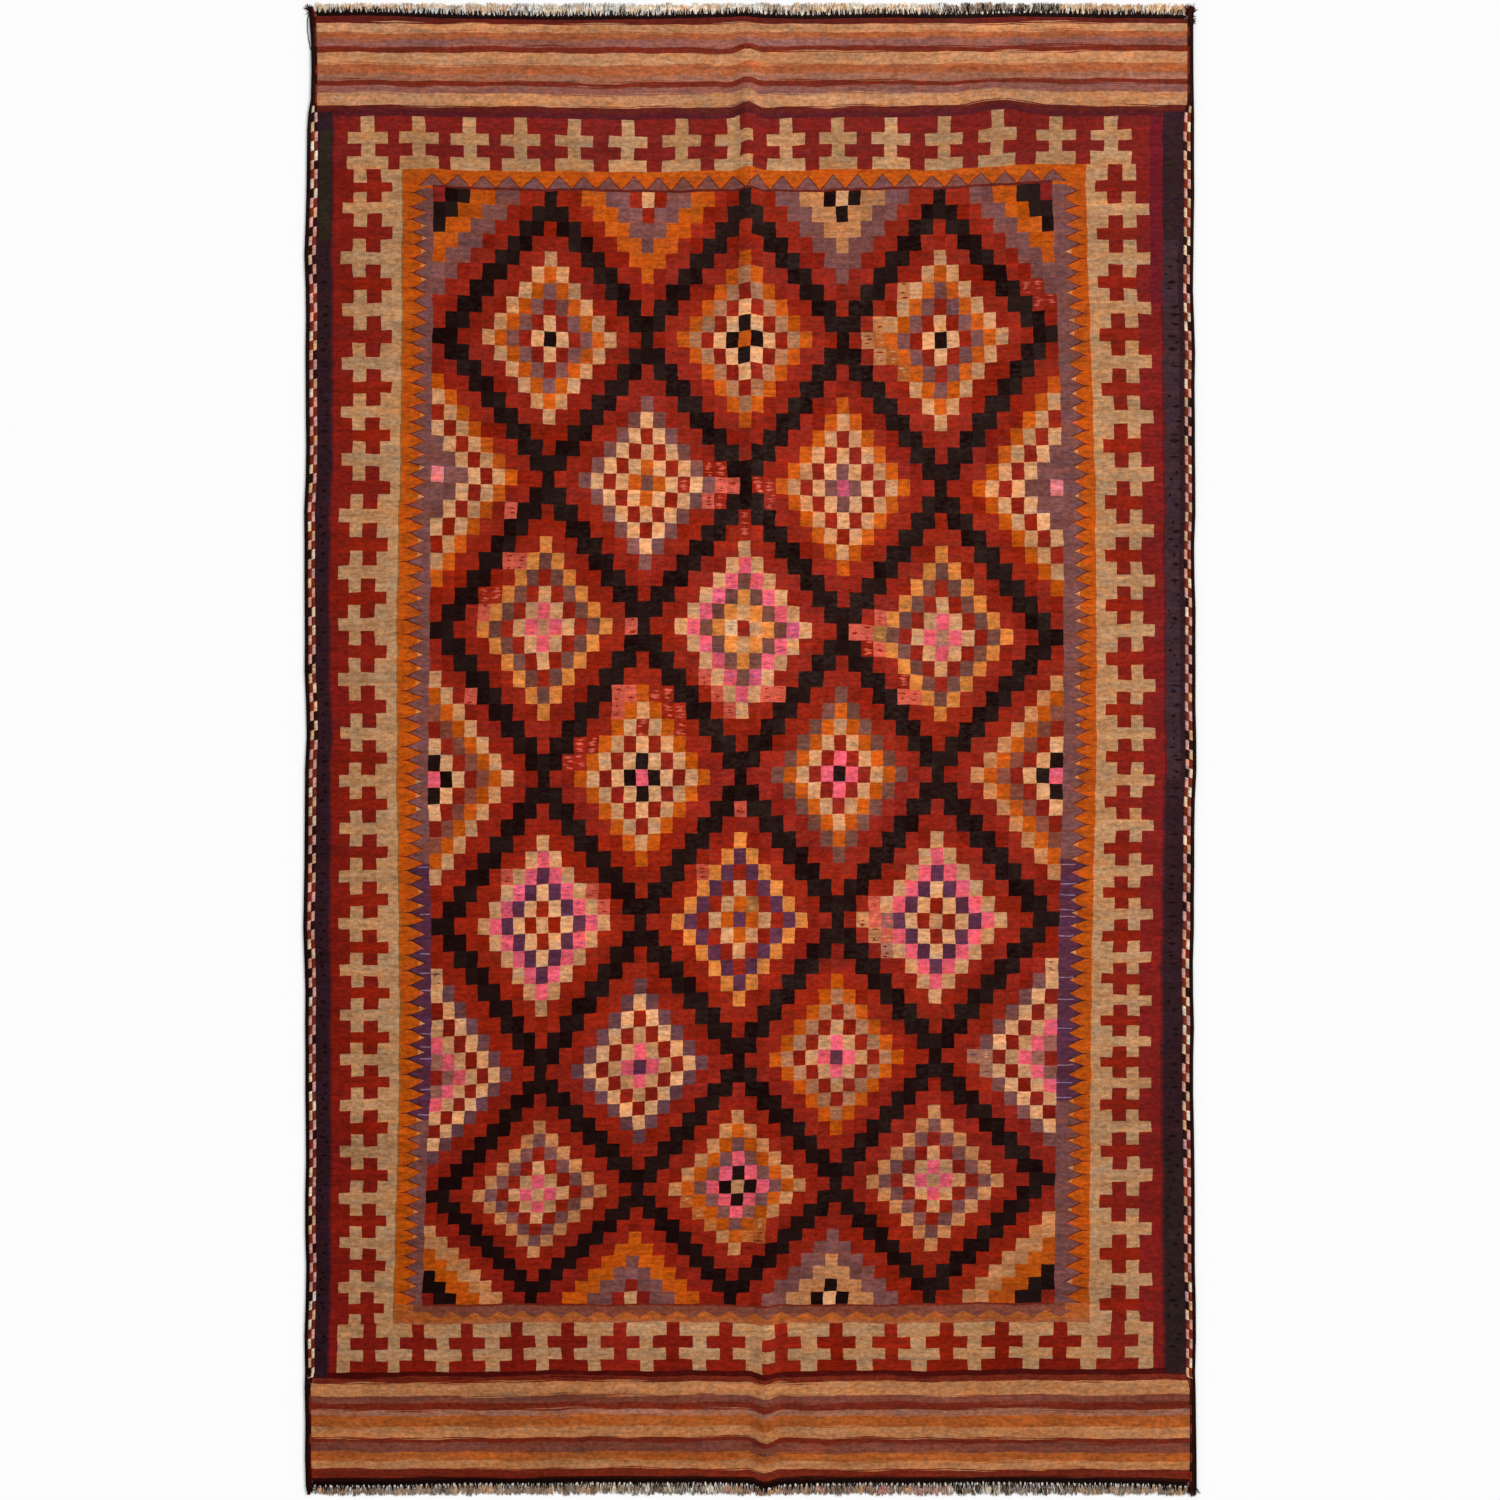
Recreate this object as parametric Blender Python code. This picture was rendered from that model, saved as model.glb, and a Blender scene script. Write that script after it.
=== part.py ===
"""A flat-woven kilim rug, lying on the floor.

Metres, +Z up. X runs across the rug and Y along it, the floor is z = 0, and the origin is
the middle of the rug's underside. The pieces are the woven sheet, an overcast selvedge down
each side, and at each end a twined cord and, outside it, the fringe of cut warp ends.
"""

import math
import random
from collections import namedtuple

import bmesh
import bpy
import numpy as np
from mathutils import Vector

# Driving sizes
SHEET_THICKNESS = 0.003
SHEET_TOP = 1.465  # where the sheet's ends lie along Y, before their unevenness
SHEET_BOTTOM = -1.459
GAP = 0.0003  # between neighbouring pieces
SELVEDGE_HEIGHT = 0.0046
CORD_WIDTH = 0.008
CORD_HEIGHT = 0.0046
STRIP_WIDTH = 0.003  # the knotted row that holds the fringe's roots
FRINGE_THICKNESS = 0.0022
FRINGE_REACH = 1.494  # how far from the middle the longest locks end
LOCKS_PER_END = 144
END_INSET = 0.0015  # how far an end cord or a fringe stops short of the sheet's corners

# The sides, from top to bottom: the outer edge of each selvedge, and its width. It is a narrow
# dark edge beside the striped ends, and wider beside the main pattern.
Side = namedtuple("Side", "y left left_width right right_width")
SIDES = (
    Side(1.488, -0.882, 0.010, 0.890, 0.008),
    Side(1.472, -0.883, 0.014, 0.888, 0.012),
    Side(1.420, -0.879, 0.012, 0.886, 0.012),
    Side(1.300, -0.877, 0.012, 0.886, 0.012),
    Side(1.272, -0.883, 0.019, 0.888, 0.020),
    Side(1.240, -0.886, 0.022, 0.889, 0.022),
    Side(0.990, -0.890, 0.023, 0.886, 0.020),
    Side(0.670, -0.888, 0.023, 0.890, 0.021),
    Side(0.350, -0.892, 0.021, 0.889, 0.021),
    Side(0.030, -0.888, 0.023, 0.892, 0.022),
    Side(-0.290, -0.893, 0.023, 0.887, 0.023),
    Side(-0.610, -0.889, 0.021, 0.886, 0.023),
    Side(-1.030, -0.889, 0.021, 0.890, 0.022),
    Side(-1.240, -0.890, 0.020, 0.891, 0.020),
    Side(-1.270, -0.891, 0.012, 0.891, 0.012),
    Side(-1.410, -0.890, 0.012, 0.892, 0.013),
    Side(-1.472, -0.887, 0.013, 0.893, 0.016),
    Side(-1.490, -0.885, 0.008, 0.893, 0.012),
)

# The ends, from left to right: how far each end of the sheet runs past its nominal place
End = namedtuple("End", "x top bottom")
ENDS = (
    End(-0.880, 0.003, -0.005),
    End(-0.700, 0.002, -0.001),
    End(-0.600, -0.003, 0.000),
    End(-0.300, -0.006, 0.003),
    End(-0.100, -0.001, 0.002),
    End(0.050, -0.002, -0.001),
    End(0.420, -0.002, 0.003),
    End(0.600, 0.002, 0.002),
    End(0.800, -0.003, 0.000),
    End(0.880, -0.004, -0.004),
)

# The lengthwise storage crease, from top to bottom: where it runs, how high it stands, and
# how far it pushes the weave along the rug
Crease = namedtuple("Crease", "y x height push")
CREASE = (
    Crease(1.455, -0.007, 0.000, 0.003),
    Crease(1.380, -0.006, 0.008, 0.008),
    Crease(1.280, -0.005, 0.011, 0.012),
    Crease(1.100, -0.002, 0.009, 0.006),
    Crease(0.260, 0.013, 0.006, 0.000),
    Crease(-0.340, 0.029, 0.006, 0.000),
    Crease(-1.100, 0.030, 0.007, -0.002),
    Crease(-1.300, 0.030, 0.010, -0.009),
    Crease(-1.390, 0.030, 0.009, -0.012),
    Crease(-1.450, 0.030, 0.000, -0.010),
)
CREASE_HALF_WIDTH = 0.034
CREASE_STEPS = (-1.0, -0.65, -0.35, 0.0, 0.35, 0.65, 1.0)  # the sheet's points across it

# The low ripple near the top right
RIPPLE_X = 0.509
RIPPLE_Y = 1.290
RIPPLE_HALF_WIDTH = 0.110
RIPPLE_HALF_LENGTH = 0.090
RIPPLE_HEIGHT = 0.006

# The furthest apart that the sheet's points stand, across it and along it
ACROSS_STEP = 0.085
ALONG_STEP = 0.075

# One selvedge across, as three wrapped cords side by side: share of its width from the outer
# edge, and share of its height
SELVEDGE_SECTION = (
    (0.00, 0.00),
    (0.00, 0.55),
    (0.17, 1.00),
    (0.33, 0.60),
    (0.50, 1.00),
    (0.66, 0.60),
    (0.83, 1.00),
    (1.00, 0.55),
    (1.00, 0.00),
)

CORD_SIDES = 8
TUFT_SHARE = 0.55  # of the selvedge's full section, at its two cut ends

# One lock from above, from its root to its tip: share of its length, and half its width as a
# share of the locks' pitch
LOCK_SECTIONS = ((0.0, 0.20), (0.6, 0.31), (1.0, 0.17))
LOCK_LEAN = 0.12
SHORTEST_LOCK = 0.80

# The small waver of a hand-woven edge, as two waves: height, and radians per metre
WAVER_WAVES = ((0.0010, 23.0), (0.0006, 61.0))
WAVER_PHASES = {"left": 0.4, "right": 2.1, "top": 1.3, "bottom": 3.0}

ENDS_OUTWARD = {"top": 1, "bottom": -1}
SIDES_INWARD = {"left": 1, "right": -1}

MADDER_RED = (0.38, 0.06, 0.04)
BLACK_WOOL = (0.03, 0.02, 0.02)
DARK_WOOL = (0.05, 0.02, 0.03)
PALE_WARP = (0.62, 0.50, 0.38)
RUG = bpy.data.collections.new("kilim_rug")


def clear_scene():
    for obj in list(bpy.data.objects):
        bpy.data.objects.remove(obj, do_unlink=True)


def read_table(rows, column, key, place):
    """One column of a table, read at a place between its rows."""
    ordered = sorted(rows, key=lambda row: getattr(row, key))
    places = [getattr(row, key) for row in ordered]
    values = [getattr(row, column) for row in ordered]
    return float(np.interp(place, places, values))


def bump(distance):
    """A smooth hump: 1 at no distance, and 0 from a distance of 1."""
    return math.cos(math.pi * min(abs(distance), 1.0) / 2) ** 2


def waver(edge, place):
    """How far a hand-woven edge strays from its line at a place along it."""
    phase = WAVER_PHASES[edge]
    (long_height, long_rate), (short_height, short_rate) = WAVER_WAVES
    long_wave = long_height * math.sin(long_rate * place + phase)
    return long_wave + short_height * math.sin(short_rate * place + 2 * phase)


def crease_x(y):
    return read_table(CREASE, "x", "y", y)


def crease_share(x, y):
    """1 on the crease's ridge, and 0 where the sheet beside it lies flat."""
    return bump((x - crease_x(y)) / CREASE_HALF_WIDTH)


def lift_at(x, y):
    """How high the underside stands off the floor."""
    ripple = bump((x - RIPPLE_X) / RIPPLE_HALF_WIDTH) * bump((y - RIPPLE_Y) / RIPPLE_HALF_LENGTH)
    return read_table(CREASE, "height", "y", y) * crease_share(x, y) + RIPPLE_HEIGHT * ripple


def selvedge_outer(side, y):
    return read_table(SIDES, side, "y", y) + waver(side, y)


def sheet_side(side, y):
    """Where the sheet stops, just inside the selvedge."""
    width = read_table(SIDES, side + "_width", "y", y) + GAP
    return selvedge_outer(side, y) + SIDES_INWARD[side] * width


def shares_between(low, high, wanted, step):
    """Shares of the way from low to high: the wanted places, and points between them no more
    than a step apart."""
    places = sorted({low, high, *(place for place in wanted if low < place < high)})
    shares = []
    for here, following in zip(places, places[1:]):
        pieces = math.ceil((following - here) / step)
        shares += [here + (following - here) * i / pieces for i in range(pieces)]
    return [(place - low) / (high - low) for place in [*shares, high]]


def shares_across():
    ridge = [crease_x(0.0) + step * CREASE_HALF_WIDTH for step in CREASE_STEPS]
    return shares_between(sheet_side("left", 0.0), sheet_side("right", 0.0), ridge, ACROSS_STEP)


def shares_along():
    return shares_between(SHEET_BOTTOM, SHEET_TOP, [row.y for row in SIDES], ALONG_STEP)


def end_unevenness(end, x):
    return read_table(ENDS, end, "x", x) + waver(end, x)


def sheet_point(across, along):
    """A point of the sheet's underside, from its shares of the way across and along."""
    nominal_x = (across - 0.5) * 2 * SIDES[0].right
    bottom = SHEET_BOTTOM + end_unevenness("bottom", nominal_x)
    top = SHEET_TOP + end_unevenness("top", nominal_x)
    y = bottom + along * (top - bottom)
    left, right = sheet_side("left", y), sheet_side("right", y)
    drift = (crease_x(y) - crease_x(0.0)) * bump(2 * across - 1)
    x = left + across * (right - left) + drift
    push = read_table(CREASE, "push", "y", y) * crease_share(x, y)
    return x, y + push, lift_at(x, y)


def give_material(obj, name, colour, roughness):
    finish = bpy.data.materials.new(name)
    finish.use_nodes = True
    shader = finish.node_tree.nodes["Principled BSDF"]
    shader.inputs["Base Color"].default_value = (*colour, 1.0)
    shader.inputs["Roughness"].default_value = roughness
    shader.inputs["Metallic"].default_value = 0.0
    obj.data.materials.append(finish)


def new_object(name, data):
    obj = bpy.data.objects.new(name, data)
    RUG.objects.link(obj)
    return obj


def closed_object(name, shape):
    """An object of the closed shape, with its faces turned outwards."""
    bmesh.ops.recalc_face_normals(shape, faces=shape.faces)
    mesh = bpy.data.meshes.new(name)
    shape.to_mesh(mesh)
    shape.free()
    return new_object(name, mesh)


def make_sheet():
    """The woven sheet: a grid laid between its uneven edges, then thickened straight upwards."""
    across, along = shares_across(), shares_along()
    columns, rows = len(across) - 1, len(along) - 1
    shape = bmesh.new()
    bmesh.ops.create_grid(shape, x_segments=columns, y_segments=rows, size=0.5)
    for point in shape.verts:
        column = round((point.co.x + 0.5) * columns)
        row = round((point.co.y + 0.5) * rows)
        point.co = sheet_point(across[column], along[row])
    underside = shape.faces[:]
    raised = bmesh.ops.extrude_face_region(shape, geom=underside, use_keep_orig=True)["geom"]
    top_points = [part for part in raised if isinstance(part, bmesh.types.BMVert)]
    bmesh.ops.translate(shape, verts=top_points, vec=(0.0, 0.0, SHEET_THICKNESS))
    sheet = closed_object("woven_sheet", shape)
    give_material(sheet, "flat_woven_wool", MADDER_RED, 0.92)


def loft(name, rings):
    """A closed solid through a row of rings, each with the same number of points."""
    shape = bmesh.new()
    loops = [[shape.verts.new(place) for place in ring] for ring in rings]
    for loop, following in zip(loops, loops[1:]):
        for i, point in enumerate(loop):
            beside = (i + 1) % len(loop)
            shape.faces.new((point, loop[beside], following[beside], following[i]))
    shape.faces.new(loops[0])
    shape.faces.new(loops[-1])
    return closed_object(name, shape)


def selvedge_ring(side, y, share):
    """The selvedge's outline at one place along it, drawn in round its middle to a share."""
    outer = selvedge_outer(side, y)
    width = read_table(SIDES, side + "_width", "y", y)
    ring = []
    for across, high in SELVEDGE_SECTION:
        x = outer + SIDES_INWARD[side] * width * (0.5 + (across - 0.5) * share)
        ring.append((x, y, high * share * SELVEDGE_HEIGHT))
    return ring


def make_selvedge(side):
    """An overcast edge, from tuft to tuft. Its rings stand at the sheet's own points."""
    across = 0.0 if side == "left" else 1.0
    beside = [sheet_point(across, along)[1] for along in shares_along()]
    past = [row.y for row in SIDES if not beside[0] < row.y < beside[-1]]
    tips = (min(past), max(past))
    rings = [
        selvedge_ring(side, y, TUFT_SHARE if y in tips else 1.0) for y in sorted(beside + past)
    ]
    selvedge = loft("selvedge_" + side, rings)
    give_material(selvedge, "overcast_wool_" + side, DARK_WOOL, 0.9)


def end_edge(end):
    """The sheet's edge at one end, from left to right, as its x values and its y values."""
    along = 1.0 if end == "top" else 0.0
    points = [sheet_point(across, along) for across in shares_across()]
    return [point[0] for point in points], [point[1] for point in points]


def past_end(end, x, distance):
    """The y that lies a distance past the sheet's end."""
    return float(np.interp(x, *end_edge(end))) + ENDS_OUTWARD[end] * distance


def end_stations(end):
    """Where the pieces beside an end have their points: at the sheet's own, and inside its corners."""
    xs = end_edge(end)[0]
    return [xs[0] + END_INSET, *xs[1:-1], xs[-1] - END_INSET]


def cord_ring(end, x):
    """The end cord's outline at one place across the rug: an oval with flats of the full size."""
    middle = past_end(end, x, GAP + CORD_WIDTH / 2)
    half_turn = math.pi / CORD_SIDES
    to_corner = 1 / math.cos(half_turn)
    ring = []
    for i in range(CORD_SIDES):
        turn = (2 * i + 1) * half_turn
        y = middle + CORD_WIDTH / 2 * to_corner * math.cos(turn)
        z = CORD_HEIGHT / 2 * (1 + to_corner * math.sin(turn))
        ring.append((x, y, z))
    return ring


def make_end_cord(end):
    """The twined cord that closes one end and lies along it."""
    cord = loft("end_cord_" + end, [cord_ring(end, x) for x in end_stations(end)])
    give_material(cord, "twined_wool_" + end, BLACK_WOOL, 0.9)


def lock_outline(end, middle, pitch, chance):
    """One lock from above: a narrow root, a fuller belly and a blunt tip that leans a little."""
    root_y = past_end(end, middle, 2 * GAP + CORD_WIDTH + STRIP_WIDTH)
    longest = ENDS_OUTWARD[end] * FRINGE_REACH - root_y
    length = longest * chance.uniform(SHORTEST_LOCK, 1.0)
    lean = chance.uniform(-LOCK_LEAN, LOCK_LEAN) * pitch
    left, right = [], []
    for share, half_width in LOCK_SECTIONS:
        y = root_y + share * length
        left.append((middle + share * lean - half_width * pitch, y))
        right.append((middle + share * lean + half_width * pitch, y))
    return left + right[::-1]


def make_fringe(end):
    """The cut warp ends of one end: separate locks, held at their roots by a narrow strip."""
    chance = random.Random("fringe " + end)
    stations = end_stations(end)
    left, right = stations[0], stations[-1]
    pitch = (right - left) / LOCKS_PER_END
    outline = []
    for i in range(LOCKS_PER_END):
        outline += lock_outline(end, left + (i + 0.5) * pitch, pitch, chance)
    outline += [(x, past_end(end, x, 2 * GAP + CORD_WIDTH)) for x in reversed(stations)]
    curve = bpy.data.curves.new("fringe_" + end, "CURVE")
    curve.dimensions = "2D"
    curve.fill_mode = "BOTH"
    curve.extrude = FRINGE_THICKNESS / 2
    line = curve.splines.new("POLY")
    line.points.add(len(outline) - 1)
    for point, (x, y) in zip(line.points, outline):
        point.co = (x, y, 0.0, 1.0)
    line.use_cyclic_u = True
    fringe = new_object("fringe_" + end, curve)
    fringe.location.z = FRINGE_THICKNESS / 2
    give_material(fringe, "undyed_warp_" + end, PALE_WARP, 0.95)


def centre_rug():
    """Moves the rug by the millimetre or so that its uneven edges leave it off the origin."""
    bpy.context.view_layer.update()
    corners = np.array(
        [obj.matrix_world @ Vector(corner) for obj in RUG.objects for corner in obj.bound_box]
    )
    middle = (corners.min(axis=0) + corners.max(axis=0)) / 2
    for obj in RUG.objects:
        obj.location.x -= middle[0]
        obj.location.y -= middle[1]


def make_rug():
    bpy.context.scene.collection.children.link(RUG)
    make_sheet()
    for side in SIDES_INWARD:
        make_selvedge(side)
    for end in ENDS_OUTWARD:
        make_end_cord(end)
        make_fringe(end)
    centre_rug()


clear_scene()
make_rug()
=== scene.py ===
"""The looks of the kilim rug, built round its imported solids.

The cloth is charted in a straight form first: each shape of the pattern is an outline with a
yarn colour, painted over the ones before it, and all of them are meshed together. lay() then
carries every point to where the rug really lies, with its drifting wefts, uneven edges,
lengthwise crease and ripple. The overcast side edges, the twined end cords and the fringes are
modelled in yarns, along the edges of the solids. Tables are in millimetres from the middle.
"""

import math
import random
from collections import namedtuple

import bpy
import numpy as np
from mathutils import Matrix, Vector
from mathutils.geometry import delaunay_2d_cdt


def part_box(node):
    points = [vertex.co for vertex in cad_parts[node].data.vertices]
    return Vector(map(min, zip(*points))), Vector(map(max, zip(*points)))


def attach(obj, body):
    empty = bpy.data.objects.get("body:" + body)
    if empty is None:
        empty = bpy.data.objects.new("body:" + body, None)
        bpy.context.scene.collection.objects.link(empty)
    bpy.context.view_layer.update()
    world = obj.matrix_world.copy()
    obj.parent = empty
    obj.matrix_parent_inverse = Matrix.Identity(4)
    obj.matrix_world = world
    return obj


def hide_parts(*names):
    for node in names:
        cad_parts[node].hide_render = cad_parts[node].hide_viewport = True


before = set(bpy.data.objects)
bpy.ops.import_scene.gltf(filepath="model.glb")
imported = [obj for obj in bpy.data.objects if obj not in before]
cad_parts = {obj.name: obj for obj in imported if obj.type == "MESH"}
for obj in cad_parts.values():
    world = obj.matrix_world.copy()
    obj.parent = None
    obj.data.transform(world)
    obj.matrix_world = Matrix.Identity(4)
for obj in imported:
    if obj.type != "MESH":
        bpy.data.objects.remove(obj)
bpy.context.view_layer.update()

MM = 0.001
SHEET_THICKNESS = 3.0
SAME_PLACE = 0.02  # points of the CAD model this close along an axis are of one section

# Yarn colours, as sRGB out of 255. They are set so that each yarn's average in the render comes
# near its average in the photo, which was measured.
YARNS = {
    "brick": (142, 28, 4),
    "madder": (130, 24, 8),
    "crimson": (128, 24, 20),
    "wine": (90, 20, 28),
    "rose_red": (126, 26, 20),
    "dark_red": (120, 38, 20),
    "orange": (188, 80, 6),
    "light_orange": (210, 124, 56),
    "bronze": (150, 96, 44),
    "cream": (218, 157, 110),
    "beige": (188, 138, 96),
    "sand": (197, 140, 97),
    "peach": (198, 136, 93),
    "tan": (194, 127, 80),
    "copper": (175, 95, 56),
    "salmon": (176, 91, 38),
    "mauve": (122, 73, 69),
    "plum": (103, 62, 67),
    "rose": (150, 91, 79),
    "clay": (166, 107, 83),
    "lilac": (150, 116, 140),
    "purple": (130, 68, 52),
    "indigo": (89, 43, 64),
    "dark_grey": (112, 66, 55),
    "olive": (166, 110, 78),
    "pink": (226, 89, 104),
    "pale_pink": (241, 128, 128),
    "coral": (196, 83, 64),
    "magenta": (184, 76, 102),
    "black": (24, 4, 3),
    "navy": (47, 22, 30),
    "green_black": (42, 36, 20),
    "soot": (41, 27, 24),
    "maroon": (99, 27, 20),
    "brown_black": (44, 8, 4),
    "oxblood": (74, 6, 3),
    "white": (240, 228, 210),
    "ivory": (232, 206, 174),
    "straw": (212, 168, 130),
    "blush": (214, 156, 142),
    "ash": (158, 138, 120),
    "taupe": (120, 98, 82),
    "slate": (60, 38, 46),
    "ruby": (109, 15, 30),
}
RED_YARNS = ("brick", "madder")
DYE_LOTS = 5
EVEN_LOT = 0.5

# The straight chart across: the sheet's edges, the field's edges and three columns' middles
FIELD_LEFT, FIELD_RIGHT = -643.0, 622.0
FIRST_COLUMN, LAST_COLUMN = -9, 41
COLUMN_WIDTH = (FIELD_RIGHT - FIELD_LEFT) / (LAST_COLUMN - FIRST_COLUMN + 1)
SHEET_LEFT, SHEET_RIGHT = -866.0, 868.0
SHEET_TOP, SHEET_BOTTOM = 1465.0, -1459.0
FIRST_ROW, LAST_ROW = -9, 63

# The lines of each side border, as shares of the way from the sheet's edge to the field
Border = namedtuple("Border", "guard arm cream gap red tip orange purple_tip orange_tip")
BORDERS = {
    "left": Border(0.118, 0.207, 0.303, 0.412, 0.539, 0.636, 0.735, 0.810, 0.945),
    "right": Border(0.156, 0.253, 0.355, 0.457, 0.570, 0.662, 0.737, 0.800, 0.911),
}

# The borders' ground: the wine strip's share of the way from guard to arms, and the ruby's end
WINE_SHARE = 0.22
RUBY_BOTTOM = 880

DASH_THICKNESS, DASH_GAPS = (4, 10), (2, 12)

# Parts of the guard bands: their ends, how far they keep from the rug's edge and from the guard's
# inner line, and their yarn
GuardPart = namedtuple("GuardPart", "side bottom top outer inner yarn")
GUARD_PARTS = (
    GuardPart("left", 1010, 1240, 5, 3, "green_black"),
    GuardPart("right", -60, 1010, 10, 0, "slate"),
    GuardPart("right", -1243, -820, 5, 0, "soot"),
)
GUARD_DASHES = (
    GuardPart("left", 1010, 1240, 6, 4, "navy"),
    GuardPart("right", 1020, 1240, 12, 2, "green_black"),
    GuardPart("left", -1200, 1000, 3, 2, "black"),
    GuardPart("right", -1200, 1000, 3, 2, "black"),
)

# Where the chart's rows lie: the row number at its middle, and its height
ROW_NUMBERS = (-9.5, 0, 9, 18, 27, 36, 45, 54, 63.5)
ROW_HEIGHTS = (1121, 824, 535, 240, -52, -343, -626, -874, -1108)

# How far the wefts have drifted up or down from their charted height, at seven places across
DRIFT_PLACES = (-643, -407, -209, -10, 188, 386, 622)
Drift = namedtuple("Drift", "chart left col0 col8 col16 col24 col32 right")
DRIFTS = (
    Drift(1465, -3, -3, -5, -3, -2, -2, 0),
    Drift(1350, -4, -5, -7, -5, -3, -3, 0),
    Drift(1267, 0, -5, -7, -5, -3, 0, 0),
    Drift(1235, 0, -6, -8, -4, 0, -2, 5),
    Drift(1187, 0, -6, -8, -5, -1, -4, 11),
    Drift(1161, 0, -5, -5, -3, 0, -1, 11),
    Drift(1126, 2, -4, -6, -6, -4, 1, 12),
    Drift(1090, 6, -3, -6, -4, -2, 1, 9),
    Drift(965, 12, 2, -2, -2, -2, 4, 10),
    Drift(824, 6, -4, -5, -4, -5, -6, 11),
    Drift(535, 17, 8, -2, -7, -12, -12, -12),
    Drift(240, -1, 5, 10, 3, -4, -17, -15),
    Drift(-52, -7, -6, -5, -1, 5, 3, 1),
    Drift(-343, -11, -7, -1, 3, 3, 0, 4),
    Drift(-626, -32, -22, -9, 5, 11, 14, 10),
    Drift(-874, -21, -15, -5, 0, 8, 14, 15),
    Drift(-1108, 0, 1, 1, 0, -1, 2, 4),
    Drift(-1147, -1, 2, 4, 2, 1, 2, 4),
    Drift(-1250, -1, 2, 3, 2, 2, 3, 6),
    Drift(-1350, -1, -1, 2, 1, -2, -1, -2),
    Drift(-1459, 0, 0, 0, 0, -2, -1, -2),
)

# Where the field's edges and three of its columns lie, from top to bottom, and how far each side
# border bows to the right at its middle
Warp = namedtuple("Warp", "y left_bow left col0 col16 col32 right right_bow")
WARPS = (
    Warp(1465, 0, -636, -399, -9, 379, 608, 0),
    Warp(1106, 4, -633, -398, -9, 378, 604, -3),
    Warp(824, 4, -635, -400, -11, 381, 616, -3),
    Warp(535, 2, -638, -403, -9, 381, 626, 1),
    Warp(240, -6, -640, -414, -13, 385, 627, 4),
    Warp(-52, -2, -644, -413, -18, 375, 626, 4),
    Warp(-343, 0, -638, -415, -21, 372, 618, 4),
    Warp(-626, 0, -637, -419, -23, 369, 613, 4),
    Warp(-874, 4, -648, -424, -24, 366, 610, 4),
    Warp(-1095, 2, -655, -439, -39, 357, 609, 2),
    Warp(-1459, 0, -655, -435, -33, 361, 609, 0),
)
LEFT_MIDDLE, RIGHT_MIDDLE = (SHEET_LEFT + FIELD_LEFT) / 2, (SHEET_RIGHT + FIELD_RIGHT) / 2
WARP_CHART = (
    SHEET_LEFT,
    LEFT_MIDDLE,
    FIELD_LEFT,
    -407.4,
    -10.5,
    386.3,
    FIELD_RIGHT,
    RIGHT_MIDDLE,
    SHEET_RIGHT,
)

# The lengthwise crease: where it runs, how high it stands, and how far it pushes the wefts
Crease = namedtuple("Crease", "y x height push")
CREASE = (
    Crease(1455, -7, 0, 3),
    Crease(1380, -6, 8, 8),
    Crease(1280, -5, 11, 12),
    Crease(1100, -2, 9, 6),
    Crease(260, 13, 6, 0),
    Crease(-340, 29, 6, 0),
    Crease(-1100, 30, 7, -2),
    Crease(-1300, 30, 10, -9),
    Crease(-1390, 30, 9, -12),
    Crease(-1450, 30, 0, -10),
)
CREASE_HALF_WIDTH = 34.0
RIPPLE_X, RIPPLE_Y = 509.0, 1290.0
RIPPLE_HALF_WIDTH, RIPPLE_HALF_LENGTH = 110.0, 90.0
RIPPLE_HEIGHT = 6.0
RIPPLE_PUSH = 12.0
PUSH_BELOW = 10.0  # the ripple pushes the wefts most this far below its top

# How far in from each end the last wefts are pulled to the solid's edge, and how far in from the
# sides the waver reaches its full height
END_PULL = 16.0
WAVER_FADE = 25.0

# The waver of hand weaving: height, radians per millimetre across and along, and phase
WAVES_ALONG = ((0.9, 0.021, 0.013, 0.4), (0.8, 0.047, 0.031, 1.9), (0.5, 0.113, 0.071, 3.3))
WAVES_ACROSS = ((0.7, 0.009, 0.037, 0.9), (0.7, 0.033, 0.083, 2.2), (0.4, 0.061, 0.171, 4.1))

# The striped ends by their tops: how far down each stripe reaches, and its yarn
Stripe = namedtuple("Stripe", "bottom yarn")
STRIPES = {
    1480: (
        Stripe(1454, "maroon"),
        Stripe(1438, "peach"),
        Stripe(1425, "copper"),
        Stripe(1410, "rose"),
        Stripe(1398, "dark_red"),
        Stripe(1374, "peach"),
        Stripe(1356, "copper"),
        Stripe(1342, "clay"),
        Stripe(1331, "dark_red"),
        Stripe(1316, "rose"),
        Stripe(1290, "peach"),
        Stripe(1279, "maroon"),
        Stripe(1265, "wine"),
    ),
    -1243: (
        Stripe(-1254, "oxblood"),
        Stripe(-1265, "dark_red"),
        Stripe(-1291, "tan"),
        Stripe(-1305, "purple"),
        Stripe(-1319, "dark_red"),
        Stripe(-1330, "clay"),
        Stripe(-1352, "salmon"),
        Stripe(-1374, "tan"),
        Stripe(-1384, "dark_red"),
        Stripe(-1403, "purple"),
        Stripe(-1420, "salmon"),
        Stripe(-1436, "tan"),
        Stripe(-1453, "dark_red"),
        Stripe(-1480, "brown_black"),
    ),
}

# The crosses of the four borders
TOP_CROSS_LINES = (1267, 1235, 1212, 1187, 1161)
BOTTOM_CROSS_LINES = (-1147, -1174, -1198, -1221, -1243)
CELL = 26.0
ARM_HALF = 0.12  # half the height of a side cross's arms, as a share of the way to the next
LAST_END_CROSS = 14
LAST_SIDE_CROSS = 22

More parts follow.
